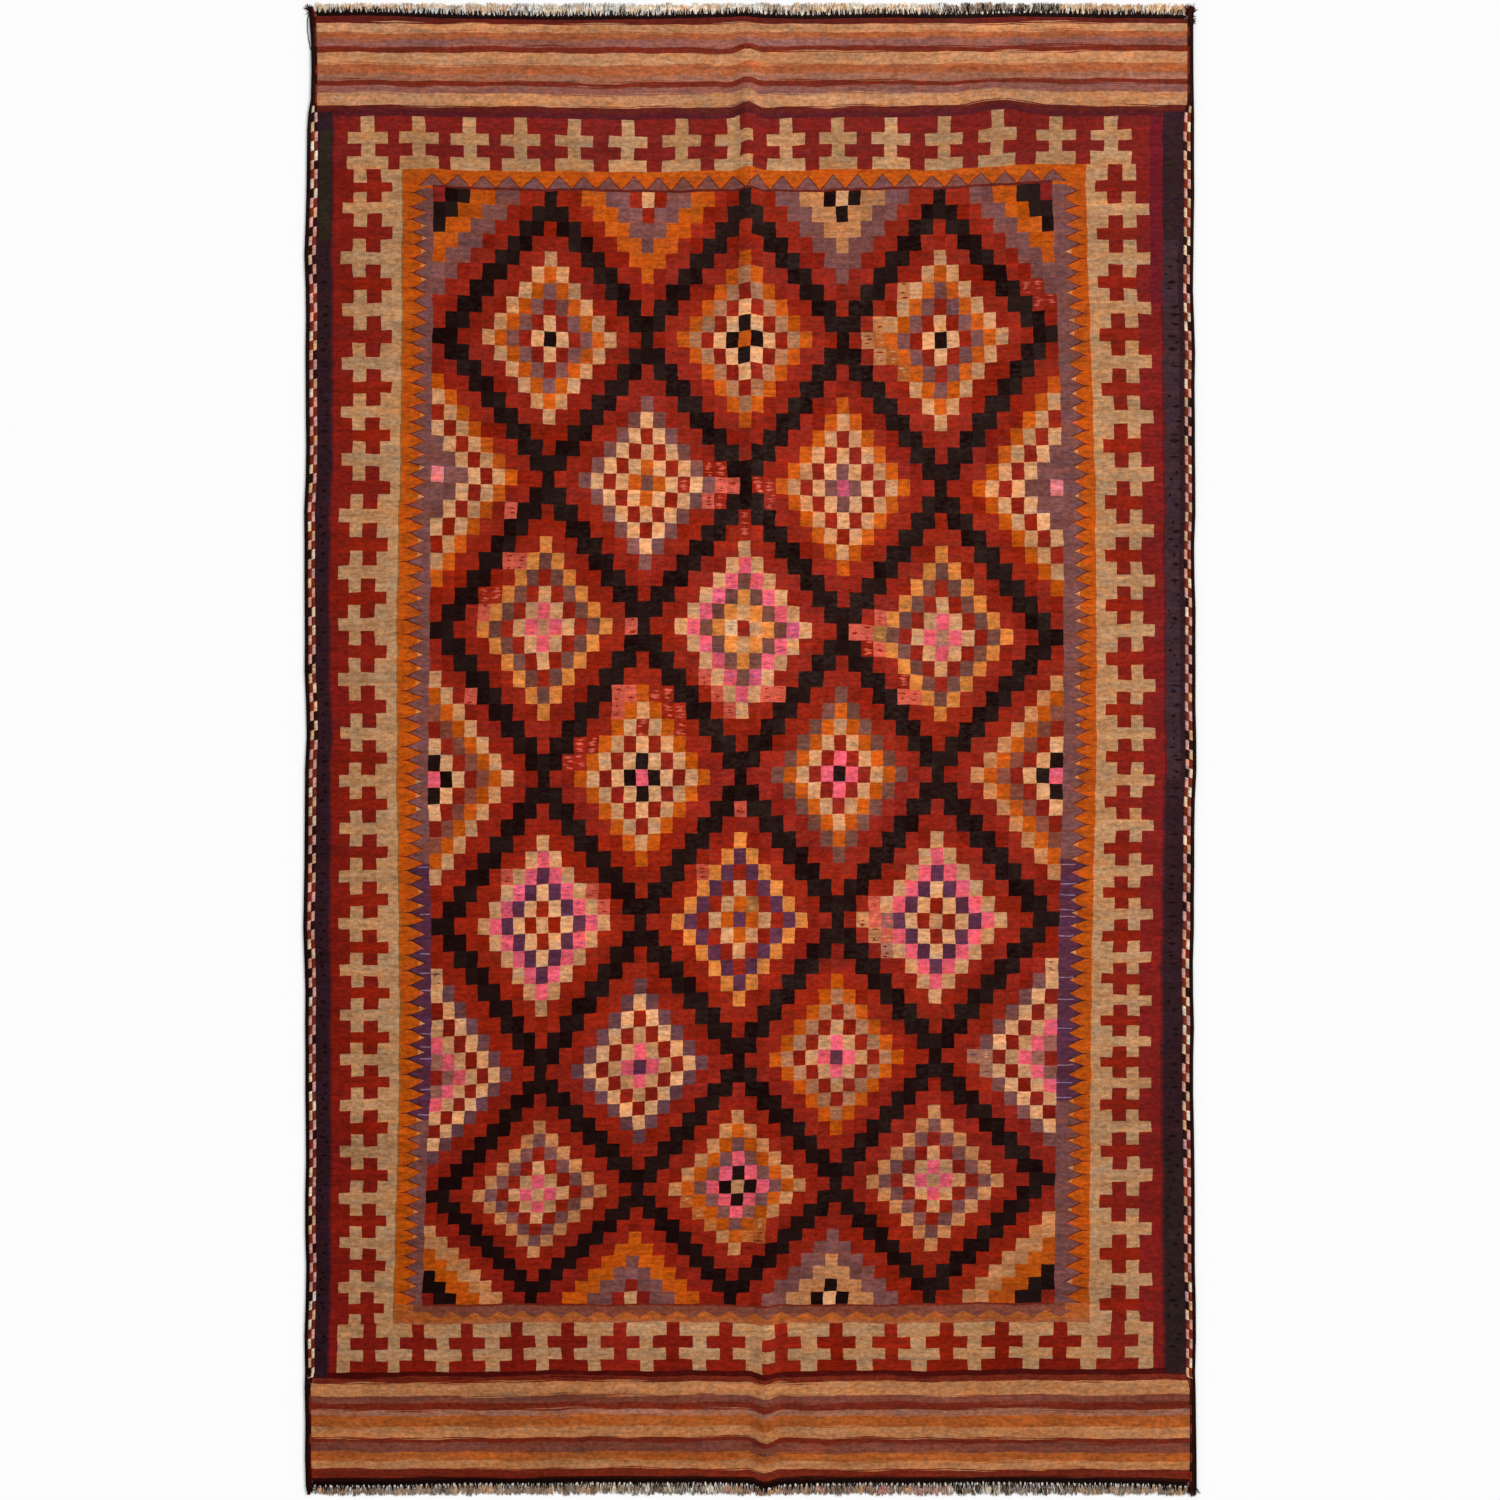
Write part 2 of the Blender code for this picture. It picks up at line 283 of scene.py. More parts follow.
# Where some of the crosses lie: their numbers, and their places from the left or the middle
Crosses = namedtuple("Crosses", "numbers places")
END_CROSSES = {
    "top": Crosses((0, 3, 6, 9, 12, 13, 14), (-764, -458, -137, 176, 494, 610, 721)),
    "bottom": Crosses((0, 2, 4, 6, 7, 10, 12, 14), (-761, -566, -364, -154, -48, 283, 504, 735)),
}
SIDE_CROSSES = {
    "left": Crosses(
        (-1, 0, 2, 3, 5, 7, 8, 10, 13, 15, 18, 20, 22, 23),
        (1164, 1086, 880, 772, 582, 354, 252, 32, -252, -441, -709, -896, -1075, -1160),
    ),
    "right": Crosses(
        (-1, 0, 2, 4, 6, 8, 9, 11, 13, 16, 18, 19, 20, 21, 23),
        (1174, 1082, 885, 666, 438, 239, 128, -60, -242, -500, -666, -753, -849, -956, -1160),
    ),
}

# The sawtooth border
TEETH_PER_SIDE = 83
INDIGO_ZONE = (-710.0, -200.0)
TOP_TEETH = (26, -645.0, 625.0)  # how many, and where the first and last stand
BOTTOM_TEETH = (25, -605.0, 631.0)
TOP_SAW = (1161, 1150, 1126, 1120)  # orange, purple tips, purple band, dark line
BOTTOM_SAW = (-1108, -1123, -1137, -1147)  # dark line, purple tips, their points, outer edge
TOOTH_STEP = (TOP_SAW[1] - BOTTOM_SAW[1]) / TEETH_PER_SIDE
TOOTH_REACHES = (0.8, 1.12)
TOOTH_STRAY = 1.5
PALE_ROOTS = 0.6  # the share of the side teeth with a pale root
PALE_REACH, PALE_HALF = 0.4, 0.16  # a pale root's size, against its tooth's reach and step
LILAC_WEFTS = 0.5  # the share of the indigo teeth with a lilac weft beside them

# The body of a side tooth, and the dark thread that runs round it and on past its point. Between
# the tooth's corners each point lies this share of the tooth's reach along it, and this share of
# the step between teeth, with some millimetres more, above its middle.
ToothPoint = namedtuple("ToothPoint", "along share more")
TOOTH_BODY = (ToothPoint(0.55, 0.18, 0), ToothPoint(0.9, 0, 0), ToothPoint(0.55, -0.18, 0))
TOOTH_THREAD = (
    ToothPoint(0.55, 0.23, 0),
    ToothPoint(1.0, 0, 1.3),
    ToothPoint(1.5, 0, 0),
    ToothPoint(1.0, 0, -1.3),
    ToothPoint(0.55, -0.26, 0),
)

# Each diamond's yarns from its middle outwards. Two red rings and the black lattice follow.
Diamond = namedtuple("Diamond", "columns rows yarns")
DIAMONDS = (
    Diamond((0, 32), (0,), "black cream brick mauve orange sand"),
    Diamond((16,), (0,), "orange black cream brick olive orange"),
    Diamond((8,), (9,), "dark_grey orange cream brick cream mauve"),
    Diamond((24,), (9,), "magenta mauve cream brick peach orange"),
    Diamond((0, 32), (18,), "clay pink sand brick dark_grey light_orange"),
    Diamond((16,), (18,), "brick sand light_orange dark_grey pink sand"),
    Diamond((8,), (27,), "pink black cream brick sand orange"),
    Diamond((24,), (27,), "black pink brick sand orange dark_grey"),
    Diamond((0, 32), (36,), "sand brick cream indigo pink sand"),
    Diamond((16,), (36,), "indigo orange sand brick indigo light_orange"),
    Diamond((8,), (45,), "indigo pink sand brick cream plum"),
    Diamond((24,), (45,), "indigo pink sand brick olive orange"),
    Diamond((0, 32), (54,), "sand pink sand brick mauve tan"),
    Diamond((16,), (54,), "sand black pink mauve orange tan"),
    Diamond((8,), (-9, 63), "sand brick mauve mauve orange orange"),
    Diamond((24,), (-9, 63), "cream black tan tan mauve mauve"),
    Diamond((-9, 41), (-9,), "crimson black black orange orange mauve mauve"),
    Diamond((-9, 41), (63,), "madder black black orange orange tan tan"),
    Diamond((-9, 41), (9,), "pale_pink mauve mauve cream brick sand orange"),
    Diamond((-9,), (27,), "pink black cream brick purple orange sand"),
    Diamond((41,), (27,), "pink black cream brick purple orange tan"),
    Diamond((-9,), (45,), "madder rose pink sand madder cream plum"),
    Diamond((41,), (45,), "madder rose pink sand madder cream mauve"),
)

# The cells whose colour in the photo was measured furthest from their ring's yarn, as worn, mended
# or woven in another: for each yarn, the rows and their columns
MENDS = {
    "tan": {-3: (29,), -1: (27,), 0: (26,), 1: (27,), 36: (26,), 37: (27,)},
    "salmon": {0: (27,), 1: (28,), 2: (29,), 55: (12,), 56: (13,), 57: (14, 18), 58: (17, 18)},
    "coral": {
        9: (14, 15), 10: (13,), 11: (-3,), 14: (-3, -2), 17: (-5, 27), 18: (7, 25, 26), 19: (27,),
        21: (13,), 22: (-6, 6, 7, 14, 18, 19, 29, 30), 23: (6, 15), 29: (16,), 33: (-3, 13),
        34: (4,), 35: (5, 27), 36: (27,), 37: (28,),
    },
    "straw": {18: (15,)},
    "magenta": {18: (20,), 21: (17,)},
    "bronze": {18: (27,), 35: (17,)},
    "rose": {36: (28,), 56: (17,)},
    "clay": {38: (28,), 45: (35, 36), 46: (36,)},
    "sand": {39: (-9, 41)},
}

# Streaky patches of two yarns: the yarn that shows through each, and each patch's middle, half
# width and half length
Patch = namedtuple("Patch", "x y across along")
SHOWS_THROUGH = {"brick": "coral", "pink": "magenta"}
PATCHES = {
    "brick": (
        Patch(-61, 530, 60, 44),
        Patch(29, 526, 34, 20),
        Patch(-11, 460, 20, 24),
        Patch(-501, 300, 50, 22),
        Patch(-481, 370, 20, 24),
        Patch(-171, 70, 38, 40),
        Patch(-321, -20, 30, 36),
        Patch(319, 120, 48, 20),
        Patch(229, 235, 40, 24),
        Patch(590, 900, 30, 24),
    ),
    "pink": (
        Patch(80, 270, 50, 60),
        Patch(-20, 330, 60, 50),
        Patch(-10, 160, 60, 50),
        Patch(-400, -300, 90, 90),
        Patch(-130, 240, 40, 50),
    ),
}
PATCH_EDGE = 1.6
STREAKS_PER_CELL, STREAKS_PER_MEND = 7, 3
STREAK_INSET = 0.45  # the most that a streak keeps from a cell's side, as a share of its width
STREAK_MARGIN = 2.5
STREAK_THICKNESS = (1.6, 5.0)
WISPS_PER_STRIPE = 5
WISP_LENGTHS, WISP_STRAY, WISP_THICKNESS = (60, 180), (0.8, 3.0), (1.4, 3.0)

# The mesh: the longest step along a border, how close points merge, and the loose points between
BORDER_STEP = 13.0
MERGE_WITHIN = 0.02
LOOSE_ACROSS, LOOSE_ALONG, LOOSE_STEP = (-850, 860), (-1445, 1455), 28.0
CREASE_STEPS = (4.25, 12.0)
RIPPLE_STEP = 10.0

# The overcast side edges
SELVEDGE_HEIGHT = 4.6
SELVEDGE_BOTTOM, SELVEDGE_TOP = -1489.0, 1487.0
WRAP_PITCH = 3.2
WRAP_SLANT = 0.35
GROOVE_HEIGHT, GROOVE_WIDTH, RIDGE_WIDTH = 0.86, 0.94, 1.04  # as shares of the bundle's own
CHECK_HEIGHT = 19.0
CHECKS_BOTTOM, CHECKS_TOP = -1256.0, 1286.0
RED_CHECKS = 0.7  # the share of the dark checks that are dark red
PALE_CHECKS = ("blush", "blush", "blush", "straw", "ivory")
END_WRAPS = ("oxblood", "brown_black", "dark_red")

# The dark cord twined across each end
CORD_WIDTH = 8.0
CORD_TWIST = 15.0
CORD_STEPS = 10
CORD_GAP = 0.3
PLY_SWING, PLY_RISE = 1.9, 0.8
PLY_HALF_WIDTH, PLY_HALF_HEIGHT = 2.0, 1.45
CORE_MIDDLE, CORE_HALF_WIDTH, CORE_HALF_HEIGHT = 1.43, 4.1, 1.3

# The bristling corners: where each starts, the way it points in degrees, and its spread
Tuft = namedtuple("Tuft", "side x y across heading spread length strands yarn")
TUFTS = (
    Tuft("right", 880, 1474, 6, 90, 40, 15, 44, "brown_black"),
    Tuft("right", 881, 1457, 5, 20, 40, 10, 20, "brown_black"),
    Tuft("right", 883, -1474, 6, -85, 20, 17, 70, "black"),
    Tuft("left", -880, 1480, 4, 130, 40, 12, 26, "brown_black"),
    Tuft("left", -880, -1474, 4, -90, 25, 14, 16, "black"),
)
TUFT_LENGTHS, TUFT_HEIGHTS, TUFT_RADII = (0.5, 1), (1.2, 3.6), (1.1, 1.0, 0.4)

# A loose thread beside the top left corner
THREAD = ((-880, 1479), (-885, 1462), (-885, 1440), (-882, 1418), (-879, 1400))
THREAD_RADIUS, THREAD_LIFT = 0.7, 0.3

# The cut fringes, with the yarns that their locks mix up to each place across
FRINGE_LOCKS = 164
FRINGE_LEVEL = 1450  # the fringes are as wide as the sheet at this height, less FRINGE_INSET
FRINGE_INSET = 1
FRINGE_TIPS = {"top": 1496.0, "bottom": 1493.0}
ROOT_YARN = "white"
ROOT_OUT, ROOT_HEIGHT, ROOT_STRAY = 5, 1.6, 0.8
FRINGE_KNOT = 0.12  # the share of a lock's length that stays bunched at its root
LOCK_LENGTHS, LOCK_LEAN = (0.82, 1.0), 1.6
STRANDS_PER_LOCK = 19
STRAND_SHARES = (0.0, 0.3, 0.55, 0.8, 1.0)
STRAND_RADII = (1.1, 1.0, 0.95, 0.85, 0.5)
STRAND_LENGTHS, STRAND_HEIGHTS = (0.7, 1.0), (0.7, 2.2)
STRAND_CURL, STRAND_STRAY = 1.5, 1.1
FRINGE_FAN = 7.5
OWN_YARN = 0.6  # the share of a lock's strands that keep to its own yarn
STUBS_PER_LOCK = 4
STUB_STRAY, STUB_LEAN = 4.0, 0.3
STUB_ROOT, STUB_BEND, STUB_TIPS = -1.0, 3.5, (5.0, 15.0)
STUB_HEIGHT, STUB_RADII = 3.2, (1.4, 1.2, 0.5)
Tone = namedtuple("Tone", "until yarns")
FRINGE_TONES = {
    "top": (
        Tone(-720, "ivory ivory straw white"),
        Tone(-480, "ivory white white straw"),
        Tone(-150, "white ivory ash white"),
        Tone(0, "ivory straw white white"),
        Tone(380, "ivory ash white white straw"),
        Tone(620, "taupe ash green_black white ash"),
        Tone(840, "ivory straw straw white"),
        Tone(900, "ash straw ivory taupe"),
    ),
    "bottom": (
        Tone(-800, "taupe ash straw ash"),
        Tone(-300, "ash ash straw taupe"),
        Tone(-50, "ash white taupe ash"),
        Tone(400, "ash straw taupe blush"),
        Tone(640, "ash taupe green_black white ash"),
        Tone(900, "ash straw taupe ash"),
    ),
}

# The studio
CAMERA_HEIGHT = 6.0
FRAME_SIDE = 3.0
KEY_FROM = (0.85, 0.25, 0.75)
KEY_STRENGTH, KEY_SPREAD = 1.7, 25
ROOM_STRENGTH = 0.66
FLOOR_SIDE, FLOOR_DROP = 12.0, 0.0004

# The weave: a weft bead over each warp
WARPS_PER_METRE = 290.0
WEFTS_PER_METRE = 740.0
BUMP_STRENGTH, BUMP_DEPTH = 0.5, 0.0008

# Values that all of the wool shares
WOOL_SOCKETS = {"Specular IOR Level": 0.03, "Sheen Weight": 0.01, "Sheen Roughness": 0.6}

# The unevenness of dyed and worn wool: features per metre on each axis, detail, the noise's
# spread about its middle, and how far it darkens and lightens
Shade = namedtuple("Shade", "stretch detail spread dark light")
WEAR_SHADES = (
    Shade((1.5, 30.0, 1.0), 3.0, 0.2, 0.82, 1.18),
    Shade((7.0, 9.0, 1.0), 2.0, 0.2, 0.85, 1.15),
    Shade((90.0, 150.0, 90.0), 4.0, 0.15, 0.7, 1.3),
    Shade((300.0, 420.0, 300.0), 2.0, 0.2, 0.82, 1.18),
)
WARM_TINT = (1.05, 0.96, 0.84, 1.0)
COOL_TINT = (0.95, 1.04, 1.16, 1.0)
TINT_STRETCHES = ((5.0, 28.0, 1.0), (40.0, 60.0, 40.0))
CRIMSON_STRETCH = (0.9, 5.0, 1.0)
MOST_CRIMSON = 0.55
FUZZ = (0.56, 0.42, 0.33, 1.0)
FUZZ_STRETCH = (80.0, 140.0, 80.0)
MATTED_STRETCH = (12.0, 16.0, 1.0)
MOST_FUZZ = 0.024
LOT_FUZZ = 0.012
PALER_WAY = (0.29, 0.24, 0.0)  # the wool is painted paler this way, by these shares a metre
PALE_MIDDLE = (1.1, 0.65, 0.0)  # the pale middle fades by these shares of its way a metre
# How far each of these darkens the wool where it is least, and lightens it where it is most
SHADE_RANGES = {
    # relief: painted shade, darker where the relief is low, in the gaps between weft beads and
    # between fibres
    "relief": (0.86, 1.1),
    # the next two: painted paler at the middle and towards the top right, darker towards the edges
    # and the bottom left
    "middle": (0.88, 1.16),
    "top_right": (0.86, 1.16),
    "lot": (0.88, 1.12),
}


def read_table(rows, column, key, place):
    """One column of a table, read at places between its rows."""
    ordered = sorted(rows, key=lambda row: getattr(row, key))
    places = [getattr(row, key) for row in ordered]
    return np.interp(place, places, [getattr(row, column) for row in ordered])


def bump(distance):
    """A smooth hump: 1 at no distance, and 0 from a distance of 1."""
    return np.cos(np.pi / 2 * np.minimum(np.abs(distance), 1.0)) ** 2


def waves(table, x, y):
    """How high a table's waves stand, all together."""
    return sum(
        height * np.sin(across * x + along * y + phase) for height, across, along, phase in table
    )


def cad_sections(node, along, beyond=0.0):
    """The places of a CAD node's sections along an axis, in millimetres, and the points of each.

    Only points past the beyond value on the other axis count, if it isn't 0."""
    points = np.array([v.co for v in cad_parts[node].data.vertices]) / MM
    if beyond:
        points = points[points[:, 1 - along] * math.copysign(1.0, beyond) > abs(beyond)]
    places = np.unique(np.round(points[:, along], 2))
    return places, [points[np.abs(points[:, along] - place) < SAME_PLACE] for place in places]


def edge_line(node, along, beyond):
    """One edge of a CAD node: its places along an axis, and how far out it lies there."""
    side = math.copysign(1.0, beyond)
    places, sections = cad_sections(node, along, beyond)
    return places, np.array([(points[:, 1 - along] * side).max() * side for points in sections])


EDGES = {
    "left": edge_line("woven_sheet", 1, -845.0),
    "right": edge_line("woven_sheet", 1, 845.0),
    "top": edge_line("woven_sheet", 0, 1440.0),
    "bottom": edge_line("woven_sheet", 0, -1435.0),
    "selvedge_left": edge_line("selvedge_left", 1, -800.0),
    "selvedge_right": edge_line("selvedge_right", 1, 800.0),
}


def edge(name, place):
    return np.interp(place, *EDGES[name])


def width_line(node):
    """How wide a selvedge of the CAD model is, at the heights of its sections."""
    heights, sections = cad_sections(node, 1)
    return heights, np.array([np.ptp(points[:, 0]) for points in sections])


WIDTHS = {node: width_line(node) for node in ("selvedge_left", "selvedge_right")}


def read_across(x, charted, columns):
    """Values at each x, between columns of values that stand at charted places."""
    result = np.zeros_like(x)
    for i in range(len(charted) - 1):
        low, high = charted[i : i + 2]
        share = (x - low) / (high - low)
        here = (share >= 0) & (share <= 1)
        result[here] = (columns[i] + share * (columns[i + 1] - columns[i]))[here]
    return result


def drift(x, y):
    """How far up a charted point lies from its charted height."""
    columns = [read_table(DRIFTS, name, "chart", y) for name in Drift._fields[1:]]
    return read_across(np.clip(x, DRIFT_PLACES[0], DRIFT_PLACES[-1]), DRIFT_PLACES, columns)


def warp_places(y):
    """Where the charted lines of WARP_CHART lie, at heights y."""
    columns = [read_table(WARPS, name, "y", y) for name in Warp._fields[1:]]
    left_bow, *field, right_bow = columns
    left, right = edge("left", y), edge("right", y)
    left_middle = (left + field[0]) / 2 + left_bow
    right_middle = (right + field[-1]) / 2 + right_bow
    return np.array([left, left_middle, *field, right_middle, right])


def laid_x(x, y):
    """Where charted x values lie, at heights y."""
    return read_across(x, WARP_CHART, warp_places(y))


def crease_share(x, y):
    return bump((x - read_table(CREASE, "x", "y", y)) / CREASE_HALF_WIDTH)


def ripple_share(x, y):
    return bump((x - RIPPLE_X) / RIPPLE_HALF_WIDTH) * bump((y - RIPPLE_Y) / RIPPLE_HALF_LENGTH)


def lift_at(x, y):
    """How high the underside stands off the floor."""
    ridge = read_table(CREASE, "height", "y", y) * crease_share(x, y)
    return ridge + RIPPLE_HEIGHT * ripple_share(x, y)


def pushed_y(x, y):
    """Heights after the waver, and after the crease and the ripple push the wefts along."""
    y = y + waves(WAVES_ALONG, x, y)
    push = read_table(CREASE, "push", "y", y) * crease_share(x, y)
    return y + push + RIPPLE_PUSH * ripple_share(x, y + PUSH_BELOW)


def lay(x, y):
    """Carries charted points to where they lie."""
    drifted = y + drift(x, y)
    rough_x = laid_x(x, drifted)
    high = pushed_y(rough_x, drifted)
    # The two ends are pulled to the solid's own edges
    at_top = SHEET_TOP + drift(x, np.full_like(x, SHEET_TOP))
    at_bottom = SHEET_BOTTOM + drift(x, np.full_like(x, SHEET_BOTTOM))
    top_gap = edge("top", rough_x) - pushed_y(rough_x, at_top)
    bottom_gap = edge("bottom", rough_x) - pushed_y(rough_x, at_bottom)
    high = high + top_gap * np.clip((y - SHEET_TOP) / END_PULL + 1, 0, 1)
    high = high + bottom_gap * np.clip((SHEET_BOTTOM - y) / END_PULL + 1, 0, 1)
    # The waver dies out at the sides, where the solid's own edge is followed
    inside = np.clip(np.minimum(x - SHEET_LEFT, SHEET_RIGHT - x) / WAVER_FADE, 0, 1)
    return laid_x(x, high) + inside * waves(WAVES_ACROSS, x, y), high


def chart_x(x, y):
    """The charted x of a laid x."""
    return float(np.interp(x, warp_places(y), WARP_CHART))


def chart_y(side, y):
    """The charted height of a laid height at one side of the field."""
    ordered = sorted(DRIFTS, key=lambda row: row.chart)
    laid = [row.chart + getattr(row, side) for row in ordered]
    return float(np.interp(y, laid, [row.chart for row in ordered]))


class Chart:
    """The rug's pattern as flat coloured outlines, each painted over the ones before it.

    An outline's wool is the name of its yarn and its dye lot, from 0, dark, to 1, pale."""

    def __init__(self):
        self.points = []
        self.shapes = []
        self.wools = []

    def paint(self, outline, yarn, lot=EVEN_LOT):
        """Adds an outline, which the mesher wants anticlockwise."""
        if sum(x0 * y1 - x1 * y0 for (x0, y0), (x1, y1) in turns(outline)) < 0:
            outline = outline[::-1]
        start = len(self.points)
        self.points += outline
        self.shapes.append(list(range(start, len(self.points))))
        self.wools.append((yarn, lot))

    def box(self, left, bottom, right, top, yarn, lot=EVEN_LOT):
        low, high = sorted((left, right))
        base, roof = sorted((bottom, top))
        self.paint([(low, base), (high, base), (high, roof), (low, roof)], yarn, lot)

    def wisp(self, start, end, height, thick, yarn):
        """A few stray wefts, which taper out at both ends."""
        middle, half = (start + end) / 2, thick / 2
        self.paint(
            [(start, height), (middle, height - half), (end, height), (middle, height + half)], yarn
        )


def side_line(side, name):
    """One line of a side border, as a charted x."""
    start, end = (SHEET_LEFT, FIELD_LEFT) if side == "left" else (SHEET_RIGHT, FIELD_RIGHT)
    return start + getattr(BORDERS[side], name) * (end - start)


def paint_stripes(chart):
    """The striped ends, with wisps of each stripe's yarn strayed a few wefts into the next."""
    chance = random.Random(4)
    for top, stripes in STRIPES.items():
        for stripe in stripes:
            chart.box(SHEET_LEFT, stripe.bottom, SHEET_RIGHT, top, stripe.yarn)
            top = stripe.bottom
    for stripes in STRIPES.values():
        for above, below in zip(stripes, stripes[1:]):
            for _ in range(WISPS_PER_STRIPE):
                for yarn, way in ((above.yarn, -1), (below.yarn, 1)):
                    start = chance.uniform(SHEET_LEFT, SHEET_RIGHT - WISP_LENGTHS[1])
                    end = start + chance.uniform(*WISP_LENGTHS)
                    height = above.bottom + way * chance.uniform(*WISP_STRAY)
                    chart.wisp(start, end, height, chance.uniform(*WISP_THICKNESS), yarn)


def paint_margins(chart):
    """The red ground of the borders, with the dark guard band outside it."""
    top, bottom = TOP_CROSS_LINES[0], BOTTOM_CROSS_LINES[-1]
    chart.box(SHEET_LEFT, bottom, SHEET_RIGHT, top, "madder")
    chart.box(SHEET_LEFT, TOP_CROSS_LINES[-1], SHEET_RIGHT, top, "rose_red")
    chart.box(side_line("right", "gap"), bottom, SHEET_RIGHT, TOP_CROSS_LINES[-1], "crimson")
    for side, outside in (("left", SHEET_LEFT), ("right", SHEET_RIGHT)):
        guard = side_line(side, "guard")
        chart.box(outside, bottom - 9, guard, top + 9, "navy")
        strip = guard + WINE_SHARE * (side_line(side, "arm") - guard)
        chart.box(guard, bottom, strip, top, "wine")
    chart.box(side_line("right", "arm"), RUBY_BOTTOM, side_line("right", "guard"), top, "ruby")
    for part in GUARD_PARTS:
        left, right = guard_span(part)
        chart.box(left, part.bottom, right, part.top, part.yarn)
    for part in GUARD_DASHES:
        paint_dashes(chart, part)


def guard_span(part):
    """How far left and right a part of a guard band reaches."""
    line = side_line(part.side, "guard")
    if part.side == "left":
        return SHEET_LEFT + part.outer, line - part.inner
    return line + part.inner, SHEET_RIGHT - part.outer


def paint_dashes(chart, part):
    """Short dashes of a second yarn in a guard band, a few wefts high each."""
    chance = random.Random(5)
    left, right = guard_span(part)
    height = part.top
    while height > part.bottom:
        start, end = sorted(chance.uniform(left, right) for _ in range(2))
        thick = chance.uniform(*DASH_THICKNESS)
        chart.wisp(start, end, height, thick, part.yarn)
        height -= thick + chance.uniform(*DASH_GAPS)


def any_lot(chance):
    return chance.randrange(DYE_LOTS) / (DYE_LOTS - 1)


def cross_place(crosses, number):
    return float(np.interp(number, crosses.numbers, crosses.places))


def paint_end_crosses(chart, end):
    """Crosses along one end: cream ones on red at the top, and red ones on cream below."""
    lines = TOP_CROSS_LINES if end == "top" else BOTTOM_CROSS_LINES
    height = (lines[0] + lines[-1]) / 2
    chance = random.Random(7)
    yarn = "beige"
    if end == "bottom":
        left, right = side_line("left", "arm"), side_line("right", "arm")
        chart.box(left, lines[-1], right, lines[0], "beige")
        yarn = "brick"
    for k in range(LAST_END_CROSS + 1):
        middle = chart_x(cross_place(END_CROSSES[end], k), height)
        lot = any_lot(chance)
        for row, (upper, lower) in enumerate(zip(lines, lines[1:])):
            half = CELL * (1.5 if row % 2 else 0.5)
            chart.box(middle - half, lower, middle + half, upper, yarn, lot)


def paint_side_crosses(chart, side):
    """Cream crosses whose stems stand beside those of red ones, all along one side."""
    arm, cream, gap, red, tip, orange = (
        side_line(side, name) for name in ("arm", "cream", "gap", "red", "tip", "orange")
    )
    top, bottom = TOP_CROSS_LINES[-1], BOTTOM_CROSS_LINES[0]
    chart.box(cream, bottom, gap, top, "beige")
    chart.box(red, bottom, orange, top, "beige")
    for half_step in range(-1, 2 * LAST_SIDE_CROSS + 2):
        k = half_step / 2
        upper, lower = (
            chart_y(side, cross_place(SIDE_CROSSES[side], k + shift))
            for shift in (-ARM_HALF, ARM_HALF)
        )
        if half_step % 2:
            chart.box(cream, lower, tip, upper, "brick")
        else:
            chart.box(arm, lower, red, upper, "beige")


def paint_side_teeth(chart, side):
    """Orange teeth on a purple ground beside the field."""
    field = FIELD_LEFT if side == "left" else FIELD_RIGHT
    orange, root, tip = (side_line(side, name) for name in ("orange", "purple_tip", "orange_tip"))
    outward = math.copysign(1, root - tip)
    chance = random.Random(31 if side == "left" else 32)
    seam = "bronze" if side == "left" else "peach"
    chart.box(orange + 3 * outward, BOTTOM_SAW[-1], orange, TOP_SAW[0], seam)
    chart.box(orange, BOTTOM_SAW[-1], tip, TOP_SAW[0], "orange")
    chart.box(tip, BOTTOM_SAW[0], field, TOP_SAW[2], "mauve")
    for k in range(TEETH_PER_SIDE):
        paint_side_tooth(chart, chance, (field, root, tip), TOP_SAW[1] - k * TOOTH_STEP)


def paint_side_tooth(chart, chance, lines, upper):
    """One purple tooth, from its upper corner, with its ground and the odd wefts at its root."""
    field, root, tip = lines
    lower = upper - TOOTH_STEP
    indigo = INDIGO_ZONE[0] < upper < INDIGO_ZONE[1]
    ground, thread = ("indigo", "navy") if indigo else ("mauve", "maroon")
    chart.box(tip, lower, field, upper, ground)
    reach = (root - tip) * chance.uniform(*TOOTH_REACHES)
    middle = upper - TOOTH_STEP / 2 + chance.uniform(-TOOTH_STRAY, TOOTH_STRAY)
    for shape, foot, yarn in ((TOOTH_THREAD, 0, thread), (TOOTH_BODY, 2, ground)):
        inner = [(tip + p.along * reach, middle + p.share * TOOTH_STEP + p.more) for p in shape]
        chart.paint([(tip, upper), *inner, (tip, lower + foot)], yarn)
    if chance.random() < PALE_ROOTS:
        pale = chance.choice(("peach", "coral", "light_orange"))
        base, half = tip + PALE_REACH * reach, PALE_HALF * TOOTH_STEP
        chart.paint([(tip, upper), (base, upper - half), (base, upper + half)], pale)
    if indigo and chance.random() < LILAC_WEFTS:
        height = upper - chance.uniform(0.2, 0.8) * TOOTH_STEP
        chart.box(tip + 0.3 * reach, height - 2, field, height, "lilac")


def tooth_row(teeth):
    """Half a tooth's width, and the middles of a row of teeth."""
    count, first, last = teeth
    half = (last - first) / (count - 1) / 2
    return half, [first + 2 * half * k for k in range(count)]


